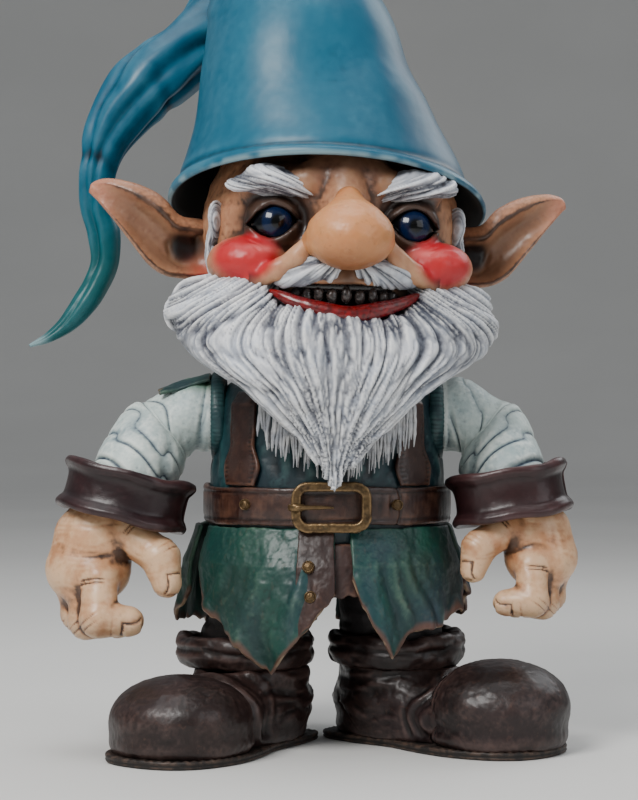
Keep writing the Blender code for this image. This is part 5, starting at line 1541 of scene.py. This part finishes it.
def make_boot_leather(side):
    """The toe cap and the creased upper behind it."""
    matrix, length = boot_turn(side)
    cap = BOOTS[side]["cap"]
    lean = float(np.linalg.norm(np.array(BOOTS[side]["ankle"]) - np.array(BOOTS[side]["heel"])))
    floor = SOLE_THICK - 0.0004
    seam_x = length - 0.0235

    def toe_ball(p, grow=0.0):
        dome_part = ball(p, (length, 0, cap - 0.001), (0.0458 + grow, 0.0453 + grow, cap + grow))
        skirt_part = ball(p, (length - 0.002, 0, 0.01), (0.0455 + grow, 0.044 + grow, 0.014))
        return join(dome_part, skirt_part, 0.01)

    def toe_field(p):
        behind = seam_x - p[..., 0] - 4.0 * p[..., 1] ** 2
        return -join(-np.maximum(toe_ball(p), floor - p[..., 2]), -behind, 0.003)

    def upper_field(p):
        body = joined([ball(p, (at, 0, height), (0.033, across, height * 0.97))
                       for at, across, height in INSTEP], 0.01)
        base = ball(p, (0.034, 0, 0.009), (0.064, 0.0335, 0.015))
        shaft = rod(p, (lean, 0, 0.03), (lean, 0, 0.052), 0.0365, 0.0375)
        body = join(join(body, base, 0.008), shaft, 0.01)
        body = np.maximum(np.maximum(body, floor - p[..., 2]), p[..., 2] - 0.0515)
        return np.maximum(body, -toe_ball(p, -0.0022))

    toe = sculpted(toe_field, (length - 0.032, -0.05, 0.001), (length + 0.05, 0.05, 2 * cap + 0.004),
                   0.0011, 2)
    p = toe.v
    edge = p[:, 0] - seam_x + 4.0 * p[:, 1] ** 2
    lift = 0.0012 * noise(p * 26, 101) + 0.0005 * noise(p * 90, 102) - 0.0009 * bump(edge, 0.0055, 0.0011)
    stitches = bump(edge, 0.0055, 0.0012) * (np.sin(np.arctan2(p[:, 2], p[:, 1]) * 58) > 0)
    toe.push(lift + 0.0005 * stitches + 0.0002 * rough(p * 300, 103))
    toe.wash_and_shade(3, 14, 0.8)
    toe.mark("worn", np.maximum(toe.marks["worn"], 0.6 * step_between(0.012, 0.006, p[:, 2])
                                + 0.7 * bump(edge, 0.0015, 0.0012)))
    toe.place(matrix)
    finish_piece(f"boot_toe_cap_{side}", toe, BOOT, "body", (f"boot_toe_{side}",))

    upper = sculpted(upper_field, (-0.036, -0.046, 0.001), (0.118, 0.046, 0.056), 0.0011, 1)
    p = upper.v
    creases = plane_noise(p[:, 0] * 120 + 1.2 * noise(p * 50, 104), p[:, 1] * 22 + p[:, 2] * 18, 105, 2)
    ankle = plane_noise(p[:, 2] * 150 + noise(p * 50, 106), np.arctan2(p[:, 1], p[:, 0] - lean) * 1.8,
                        107, 2)
    front = step_between(0.03, 0.055, p[:, 0])
    amount = front * creases * 0.003 + (1 - front) * ankle * 0.0022 * step_between(0.012, 0.028, p[:, 2])
    upper.push(amount * step_between(0.0055, 0.013, p[:, 2]) + 0.0006 * noise(p * 80, 108)
               + 0.0002 * rough(p * 300, 109))
    for y_sign in (-1, 1):
        upper.groove([(x, y_sign * y, z) for x, y, z in HEEL_SEAM], 0.0009, 0.001)
    upper.wash_and_shade(2, 10, 0.9)
    upper.place(matrix)
    finish_piece(f"boot_leather_{side}", upper, BOOT, "body", (f"boot_upper_{side}",))


def make_sole(side):
    """The sole, with a stitched edge that stands out all round."""
    outline = [(a, -w, 0) for a, w in SOLE_OUTLINE] + [(a, w, 0) for a, w in reversed(SOLE_OUTLINE)]
    edge_line = smooth_closed(outline, SOLE_COLUMNS)
    rings = [inset_line(edge_line, inset) + (0, 0, z) for inset, z in SOLE_RINGS]
    shape = outward(grid_shape(np.stack(rings)))
    p = shape.v
    top = step_between(0.0047, 0.0053, p[:, 2])
    beat = np.sin(np.arange(len(p)) % SOLE_COLUMNS * 2 * math.pi * 75 / SOLE_COLUMNS)
    ring_of = np.arange(len(p)) // SOLE_COLUMNS
    stitched = (ring_of == 8) | (ring_of == 9)
    shape.push(np.where(stitched, 0.0004 * beat, 0) + 0.0002 * noise(p * 200, 110) * top)
    shape.wash_and_shade(1, 4, 0.8)
    shape.add("worn", (ring_of == 7) * 0.8 + (ring_of == 6) * 0.6)
    shape.place(boot_turn(side)[0])
    finish_piece(f"boot_welt_{side}", shape, SOLE, "body", (f"boot_sole_{side}",))


def make_boot_fold(side):
    """The folded ankle cuff, thick and uneven."""
    x, y = BOOTS[side]["ankle"]
    turn = full_turn(LEG_COLUMNS)
    droop = 0.0012 * np.sin(2 * turn + 1) + 0.0008 * np.sin(5 * turn)
    shape = outward(closed_loop(np.stack([
        np.stack([x + r * np.cos(turn), y + r * np.sin(turn), z + 0.6 * droop], 1)
        for r, z, _ in smooth_closed(FOLD_PROFILE, 64)])))
    p = shape.v
    around = np.arctan2(p[:, 1] - y, p[:, 0] - x)
    shape.push(0.0016 * plane_noise(around * 2.2, p[:, 2] * 120 + 0.6 * np.sin(around * 3), 111, 2)
               + 0.0007 * noise(p * 110, 112) + 0.0002 * rough(p * 300, 113))
    shape.wash_and_shade(2, 10, 0.9)
    finish_piece(f"boot_fold_{side}", shape, BOOT, "body", (f"boot_cuff_{side}",))


def make_trouser_leg(side):
    """A trouser leg that bags over the cuff."""
    x, y = BOOTS[side]["ankle"]
    foot, hip = np.array((x, y, 0.0548)), np.array((dict(SIDES)[side] * 0.038, 0.0, 0.1065))
    steps, turn = np.linspace(0, 1, 90), full_turn(LEG_COLUMNS)
    radius = np.interp(steps, (0, 0.2, 0.35, 0.6, 1.0), (0.029, 0.0318, 0.0335, 0.0332, 0.031))
    centre = foot + (hip - foot) * steps[:, None]
    ring = np.stack([np.cos(turn), np.sin(turn), 0 * turn], 1)
    leg = outward(grid_shape(centre[:, None] + radius[:, None, None] * ring[None]))
    p = leg.v
    around = np.arctan2(p[:, 1] - y, p[:, 0] - x)
    leg.push(0.0014 * plane_noise(p[:, 2] * 110 + 1.4 * np.sin(around + 1), around * 1.3, 114, 2)
             + 0.0004 * noise(p * 120, 115))
    leg.wash_and_shade(3, 10, 0.9)
    finish_piece(f"trouser_cloth_{side}", leg, TROUSERS, "body", (f"trouser_leg_{side}",))


def make_trouser_seat():
    rows, turn = [], full_turn(200)
    for t in np.linspace(0, 1, 30):
        swell = math.sqrt(max(0.0, 1 - (1.0 - t) ** 2.2)) * 0.8 + 0.2
        rows.append(np.stack([0.071 * swell * np.cos(turn), 0.047 * swell * np.sin(turn),
                              0 * turn + 0.1035 + 0.0078 * t], 1))
    seat = outward(grid_shape(np.stack(rows)))
    seat.push(0.0007 * noise(seat.v * 90, 116))
    seat.wash_and_shade(2, 8, 0.9)
    finish_piece("trouser_seat_cloth", seat, TROUSERS, "body", ("trouser_seat",))


def smooth_closed(points, count):
    """A smooth closed curve through points, at even steps."""
    points = np.asarray(points, float)
    wrapped = np.vstack([points[-2:], points, points[:3]])
    return even_steps(curve_through(wrapped, 20)[40:-40], count)


def inset_line(line, amount):
    """A closed flat curve, moved inwards."""
    along = unit(np.roll(line, -1, 0) - np.roll(line, 1, 0))
    inward = np.stack([-along[:, 1], along[:, 0], 0 * along[:, 0]], 1)
    middle = line.mean(0)
    if ((middle - line) * inward).sum() < 0:
        inward = -inward
    return line + inward * amount


# ---------------------------------------------------------------- arms

ARMS = {
    "right": {"sign": -1, "elbow": (-0.112, -0.006, 0.203), "wrist": (-0.13, -0.028, 0.169), "size": 0.89,
              "lean": 0.23, "cuff": (-0.1305, -0.034, 0.163), "cuff_r": 0.0425},
    "left": {"sign": 1, "elbow": (0.108, -0.004, 0.202), "wrist": (0.117, -0.026, 0.171), "size": 0.77,
             "lean": -0.17, "cuff": (0.1175, -0.034, 0.164), "cuff_r": 0.039},
}
PALM = (((0.022, -0.002, -0.028), (0.029, 0.024, 0.024)), ((0.026, -0.004, -0.052), (0.031, 0.026, 0.027)))
FINGERS = (
    ((0.016, -0.024, -0.058), (0.016, -0.033, -0.086), (-0.005, -0.031, -0.088), 0.013, 0.0112),
    ((0.028, -0.01, -0.062), (0.026, -0.018, -0.089), (0.004, -0.015, -0.091), 0.0128, 0.0105),
    ((0.038, 0.006, -0.06), (0.034, 0.002, -0.086), (0.012, 0.001, -0.09), 0.0122, 0.01),
    ((0.038, 0.018, -0.054), (0.034, 0.017, -0.076), (0.014, 0.017, -0.082), 0.011, 0.009),
)
THUMB = ((-0.002, -0.012, -0.026), (-0.027, -0.021, -0.043), (-0.032, -0.025, -0.061), 0.0138, 0.0108)


def hand_local(plan, offset):
    """A spot on a hand, from an offset given for a left hand of full size."""
    return np.array(plan["cuff"]) + np.array((plan["sign"] * offset[0], offset[1], offset[2])) * plan["size"]


def make_sleeve(side, plan):
    """A sleeve with diagonal folds; the right one has green at the shoulder."""
    sign = plan["sign"]
    start, elbow, wrist = SHOULDER * (sign, 1, 1), np.array(plan["elbow"]), np.array(plan["wrist"])
    stops = (
        (start + (sign * 0.0003, 0, 0), (sign, 0, 0), 0.0232),
        (start + (sign * 0.014, -0.001, 0), (sign, 0, -0.1), 0.0246),
        (start + (elbow - start) * 0.8, (sign, -0.1, -0.5), 0.0232),
        (elbow, (sign * 0.8, -0.4, -0.9), 0.0256),
        (elbow + (wrist - elbow) * 0.5, (sign * 0.4, -0.4, -1), 0.0277),
        (wrist, (sign * 0.3, -0.2, -1), 0.0265),
    )
    rows = []
    for centre, along, radius in stops:
        along = unit(np.array(along))
        across = unit(np.cross(along, (0, 1, 0)))
        rows.append([*centre, *across, *np.cross(along, across), radius])
    count, columns = 230, 240
    rows = smooth_table(rows, count)[:, None]
    turn = full_turn(columns)[None, :, None]
    ring = rows[..., 3:6] * np.cos(turn) + rows[..., 6:9] * np.sin(turn)
    shape = outward(grid_shape(rows[..., 0:3] + rows[..., 9:10] * ring))
    share = np.concatenate([np.repeat(np.linspace(0, 1, count), columns), [0, 1]])
    angle = np.concatenate([np.tile(turn[0, :, 0], count), [0, 0]])
    p = shape.v
    diagonal = share * 9.0 + 1.1 * np.sin(angle + 0.8 * sign) + 0.5 * noise(p * 28, 121)
    ridge = 1 - np.abs(noise(stacked(diagonal, 0.6 * np.cos(angle), 0.6 * np.sin(angle)), 122)) * 2.2
    folds = np.clip(ridge, -0.4, 1)
    calm = step_between(0.0, 0.1, share)
    inner_bend = 0.5 + 0.5 * np.clip((elbow[2] - p[:, 2]) / 0.02, -1, 1)
    pressed = -0.0026 * np.clip(folds, 0, 1) ** 2 * (0.5 + 0.5 * inner_bend)
    shape.push(calm * (pressed + 0.0012 * noise(p * 45, 123)) + 0.0002 * rough(p * 280, 124))
    shape.wash_and_shade(4, 34, 1.1)
    # painted shade in the pressed creases, and dark where the sleeve goes into the cuff
    shape.add("wash_and_shade", 0.45 * calm * np.clip(folds, 0, 1) ** 3)
    shape.mark("dark", step_between(0.9, 0.99, share) * 0.7)
    top = step_between(0.55, 0.9, (p[:, 2] - start[2]) / 0.0246) * step_between(0.42, 0.3, share)
    shape.mark("green", top * (sign < 0))
    finish_piece(f"sleeve_cloth_{side}", shape, SHIRT, f"{side}_arm", (f"sleeve_{side}",))


def make_cuff(side, plan):
    """A wide turned-up cuff with a rolled edge at both ends."""
    axis = unit(np.array((math.sin(plan["lean"]), 0.08, math.cos(plan["lean"]))))
    across = unit(np.cross(axis, (0, 1, 0)))
    second = np.cross(axis, across)
    big = plan["cuff_r"]
    profile = smooth_table((  # radius and height
        (0.022, -0.0085), (0.03, -0.0115), (big - 0.0075, -0.0135), (big - 0.004, -0.0158),
        (big - 0.0005, -0.016), (big + 0.0008, -0.0132), (big - 0.0006, -0.0105), (big - 0.003, -0.007),
        (big - 0.0036, 0.0), (big - 0.003, 0.007), (big - 0.0006, 0.0105), (big + 0.0008, 0.0132),
        (big - 0.0005, 0.016), (big - 0.004, 0.0158), (big - 0.0075, 0.0132), (0.03, 0.0105),
        (0.024, 0.008),
    ), 110)
    turn = full_turn(300)[None, :, None]
    centre = np.array(plan["cuff"])
    points = (centre + axis * profile[:, None, 1:2]
              + profile[:, None, 0:1] * (across * np.cos(turn) + 0.86 * second * np.sin(turn)))
    shape = outward(grid_shape(points))
    p = shape.v
    level = ((p - centre) @ axis) / 0.016
    around = np.arctan2((p - centre) @ second, (p - centre) @ across)
    wave = plane_noise(around * 1.2, level * 0.5, 131, 1)
    creases = plane_noise(around * 3.2 + 0.5 * level, level * 0.8, 132, 1)
    shape.push(0.0014 * wave + 0.0006 * creases + 0.0001 * rough(p * 220, 133))
    shape.v = shape.v + axis * (0.001 * np.sin(around * 2 + 1) + 0.0007 * np.sin(around * 5))[:, None]
    shape.wash_and_shade(2, 10, 0.9)
    # painted shade inside the cuff's opening
    deep = np.linalg.norm(((p - centre) - np.outer((p - centre) @ axis, axis)), axis=1) < big * 0.72
    shape.add("wash_and_shade", deep * 0.9)
    shape.add("worn", 0.8 * bump(np.abs(level), 0.98, 0.1))
    finish_piece(f"cuff_leather_{side}", shape, CUFF, f"{side}_arm", (f"cuff_{side}",))


def finger_stops(plan, finger):
    """Points and radii along a finger, thinner between its joints."""
    knuckle, middle, tip, start_r, end_r = finger
    size = plan["size"]
    a, b, c = (hand_local(plan, spot) for spot in (knuckle, middle, tip))
    return ((a, start_r * size), (a + (b - a) * 0.5, start_r * 0.92 * size), (b, start_r * 1.02 * size),
            (b + (c - b) * 0.45, (start_r * 0.42 + end_r * 0.5) * size), (c, end_r * size))


def facing(along, outwards):
    """The directions out of a finger's back and across it."""
    outer = unit(outwards - along * (outwards @ along))
    return outer, np.cross(along, outer)


def make_hand(side, plan):
    size, sign = plan["size"], plan["sign"]
    digits = [finger_stops(plan, finger) for finger in (*FINGERS, THUMB)]

    def spot(offset):
        return hand_local(plan, offset)

    def field(p):
        palm = joined([ball(p, spot(offset), np.array(radii) * size) for offset, radii in PALM], 0.008)
        wrist = rod(p, spot((0.012, 0, 0.004)), spot((0.017, -0.002, -0.03)), 0.021 * size, 0.024 * size)
        body = join(palm, wrist, 0.006)
        fingers = joined([chain(p, stops, 0.0035) for stops in digits[:4]], 0.0016)
        body = join(body, fingers, 0.0055)
        return join(body, chain(p, digits[4], 0.004), 0.0045)

    low = np.min([place - radius - 0.006 for stops in digits for place, radius in stops], 0)
    high = np.max([place + radius + 0.006 for stops in digits for place, radius in stops], 0)
    low = np.minimum(low, spot((0, -0.03, 0)) - 0.004)
    high = np.maximum(high, spot((0.05, 0.03, 0.006)))
    outer_x = spot((0.055, 0, 0))[0]
    low[0], high[0] = min(low[0], outer_x), max(high[0], outer_x)
    shape = sculpted(field, low, high, 0.00095, 2)
    for stops in digits:
        points = [np.array(place) for place, _ in stops]
        for i, offsets in ((2, (-0.0022, 0.0, 0.0024)), (3, (0.0,)), (0, (0.003, 0.0055))):
            along = unit(points[min(i + 1, 4)] - points[max(i - 1, 0)])
            outer, lateral = facing(along, points[i] - spot((-0.004, -0.004, -0.066)))
            for offset in offsets:
                arc = [points[i] + along * offset * size
                       + stops[i][1] * (outer * math.cos(a) + lateral * math.sin(a))
                       for a in np.linspace(-1.1, 1.1, 7)]
                shape.groove(arc, 0.0008, 0.0013)
        # fingernail
        tip, radius = points[4], stops[4][1]
        along = unit(tip - points[3])
        outer, lateral = facing(along, tip - spot((-0.002, 0.004, -0.06)))
        rel = shape.v - (tip + along * radius * 0.3 + outer * radius * 0.9)
        u, w, h = rel @ along, rel @ lateral, rel @ outer
        inside = np.maximum(np.abs(w) / (radius * 0.55), np.abs(u) / (radius * 0.62))
        here = (np.abs(h) < radius * 0.8) & (inside < 1.6)
        shape.push(np.where(here, -0.001 * bump(inside, 1.05, 0.16) + 0.0003 * (inside < 0.9), 0))
    # tendons on the back of the hand
    for finger in FINGERS:
        root, wrist_spot = spot(finger[0]), spot((0.018, finger[0][1] * 0.5, -0.018))
        lift = np.array((sign * 0.6, -0.6, 0.1)) * 0.024 * size
        shape.groove([root + lift, (root + wrist_spot) / 2 + lift, wrist_spot + lift], 0.0024, -0.001)
    p = shape.v
    wrinkles = plane_noise(p[:, 2] * 240 + 1.5 * noise(p * 60, 141), p[:, 0] * 45 + p[:, 1] * 45, 142, 2)
    shape.push(0.0004 * noise(p * 60, 143) + 0.00018 * wrinkles + 0.00006 * rough(p * 420, 144))
    tips = np.max([bump(np.linalg.norm(p - np.array(stops[4][0]), axis=1), 0, 0.01) for stops in digits], 0)
    shape.mark("pale", 0.5 * tips)
    drop = (p[:, 2] - plan["cuff"][2]) / size
    # painted shade, in brown: where the hand goes into the cuff, and at the bottom of the hand
    shape.mark("brown_shade", np.maximum(0.55 * step_between(-0.022, -0.006, drop),
                                   0.45 * step_between(-0.072, -0.1, drop)))
    # a strong wash, which lays painted shade between the fingers
    shape.wash_and_shade(4, 30, 1.5)
    finish_piece(f"hand_skin_{side}", shape, HAND_SKIN, f"{side}_arm", (f"hand_{side}",))


def make_cape():
    """The short green cape over the right upper arm."""
    start, end = SHOULDER * (-1, 1, 1) - (0.001, 0, 0), np.array(ARMS["right"]["elbow"]) - (0.002, 0, 0)
    angle = np.radians(58 + 109 * spread(110, 0.3))[None, :, None]
    along = (0.88 * spread(90, 0.3))[:, None, None]
    ragged = 0.05 * np.sin(angle * 9) + 0.03 * np.sin(angle * 23 + 1)
    centre = start + (end - start) * (along * (1 + ragged * along))
    wave = noise(stacked(angle * 2.6, along * 2.2, 0)[..., 0, :], 151)[..., None]
    radius = 0.0235 + 0.0042 + 0.0012 * wave * along
    middle = centre + np.concatenate([0 * angle, -np.cos(angle), np.sin(angle)], -1) * radius
    shape = pillow(middle, 0.0021)
    shape.push(np.where(shape.outer, 0.0004 * rough(shape.v * 130, 152), 0))
    edge = grid_values(np.broadcast_to(along[..., 0], middle.shape[:2]))
    shape.wash_and_shade(3, 12, 0.9)
    shape.mark("hem", step_between(0.84, 0.88, edge) * 0.6)
    shape.mark("pale", step_between(0.87, 0.88, edge) * 0.4)
    finish_piece("shoulder_cape_cloth", shape, COAT, "right_arm", ("shoulder_cape",))


make_hat()
make_torso()
make_armhole_welts()
make_belt()
make_braces()
make_coat()
for side_name, _ in SIDES:
    make_boot_leather(side_name)
    make_sole(side_name)
    make_boot_fold(side_name)
    make_trouser_leg(side_name)
make_trouser_seat()
for arm_side, arm_plan in ARMS.items():
    make_sleeve(arm_side, arm_plan)
    make_cuff(arm_side, arm_plan)
    make_hand(arm_side, arm_plan)
make_cape()
for kept in ("neck_post", "neck_washer", "shoulder_peg_left", "shoulder_peg_right"):
    node = frame["nodes"][kept]
    for slot_spot in node.material_slots:
        slot_spot.material = STEEL

# ---------------------------------------------------------------- floor, light and camera

FLOOR_FLAT, FLOOR_RISE = 4.5, 4.5  # radius of the flat part, and of the curve round it
CAMERA_LENS, CAMERA_AWAY, CAMERA_RIGHT, CAMERA_HEIGHT = 128.2, 1.5, -0.0053, 0.225
LIGHTS = (  # name, place, target, size, power, colour
    ("key_light", (-0.8, -1.3, 1.5), (0, 0, 0.3), (0.8, 0.8), 40, (1.0, 0.98, 0.96)),
    ("fill_light", (1.4, -1.1, 0.9), (0, 0, 0.3), (1.2, 1.2), 7, (0.95, 0.97, 1.0)),
    ("top_light", (0, 0.1, 1.9), (0, 0, 0.3), (1.4, 1.0), 13, (1, 1, 1)),
    ("rim_light", (0.9, 0.8, 1.1), (0, 0, 0.35), (0.8, 0.8), 5, (0.95, 0.98, 1.0)),
)
WORLD_COLOUR, WORLD_STRENGTH = (0.85, 0.87, 0.9, 1), 0.36


def make_floor():
    """A wide round dish, flat and then curving up, so that every view has the same plain ground."""
    profile = [(r, 0.0) for r in np.linspace(0.02, FLOOR_FLAT, 30)]
    profile += [(FLOOR_FLAT + FLOOR_RISE * math.sin(a), FLOOR_RISE - FLOOR_RISE * math.cos(a))
                for a in np.linspace(0, 1.45, 40)[1:]]
    turn = full_turn(96)
    points = np.array([[(r * math.cos(t), r * math.sin(t), z) for t in turn] for r, z in profile])
    shape = grid_shape(points, cap_high=False)
    if (shape.normals()[:, 2] > 0).mean() < 0.5:
        shape.f = shape.f[:, ::-1]
    floor = new_mesh("studio_floor", shape.v, shape.f)
    obj = bpy.data.objects.new("studio_floor", floor)
    bpy.context.scene.collection.objects.link(obj)
    paper = Paint("pale_floor", (0.75, 0.9), 0.0, patch=1.5).base((0.86, 0.86, 0.85), (0.84, 0.84, 0.83))
    floor.materials.append(paper.grain((900, 0.0002, 0.1),).done())


def soft_light(name, place, target, size, power, colour):
    """A rectangular lamp that faces a target."""
    light = bpy.data.lights.new(name, "AREA")
    light.shape = "RECTANGLE"
    light.size, light.size_y = size
    light.energy = power
    light.color = colour
    obj = bpy.data.objects.new(name, light)
    obj.location = place
    obj.rotation_euler = (Vector(target) - Vector(place)).to_track_quat("-Z", "Y").to_euler()
    bpy.context.scene.collection.objects.link(obj)


def make_camera():
    """Level, in front of the figure and a little above its middle."""
    camera = bpy.data.cameras.new("camera")
    camera.sensor_width = 36.0
    camera.sensor_fit = "HORIZONTAL"
    camera.lens = CAMERA_LENS
    camera.clip_end = 20
    obj = bpy.data.objects.new("camera", camera)
    obj.location = (NECK.x + CAMERA_RIGHT, NECK.y - CAMERA_AWAY, CAMERA_HEIGHT)
    obj.rotation_euler = (math.pi / 2, 0, 0)
    bpy.context.scene.collection.objects.link(obj)
    bpy.context.scene.camera = obj


make_floor()
for light_row in LIGHTS:
    soft_light(*light_row)
world = bpy.data.worlds.new("studio")
world.use_nodes = True
background = world.node_tree.nodes["Background"]
background.inputs["Color"].default_value = WORLD_COLOUR
background.inputs["Strength"].default_value = WORLD_STRENGTH
bpy.context.scene.world = world
make_camera()
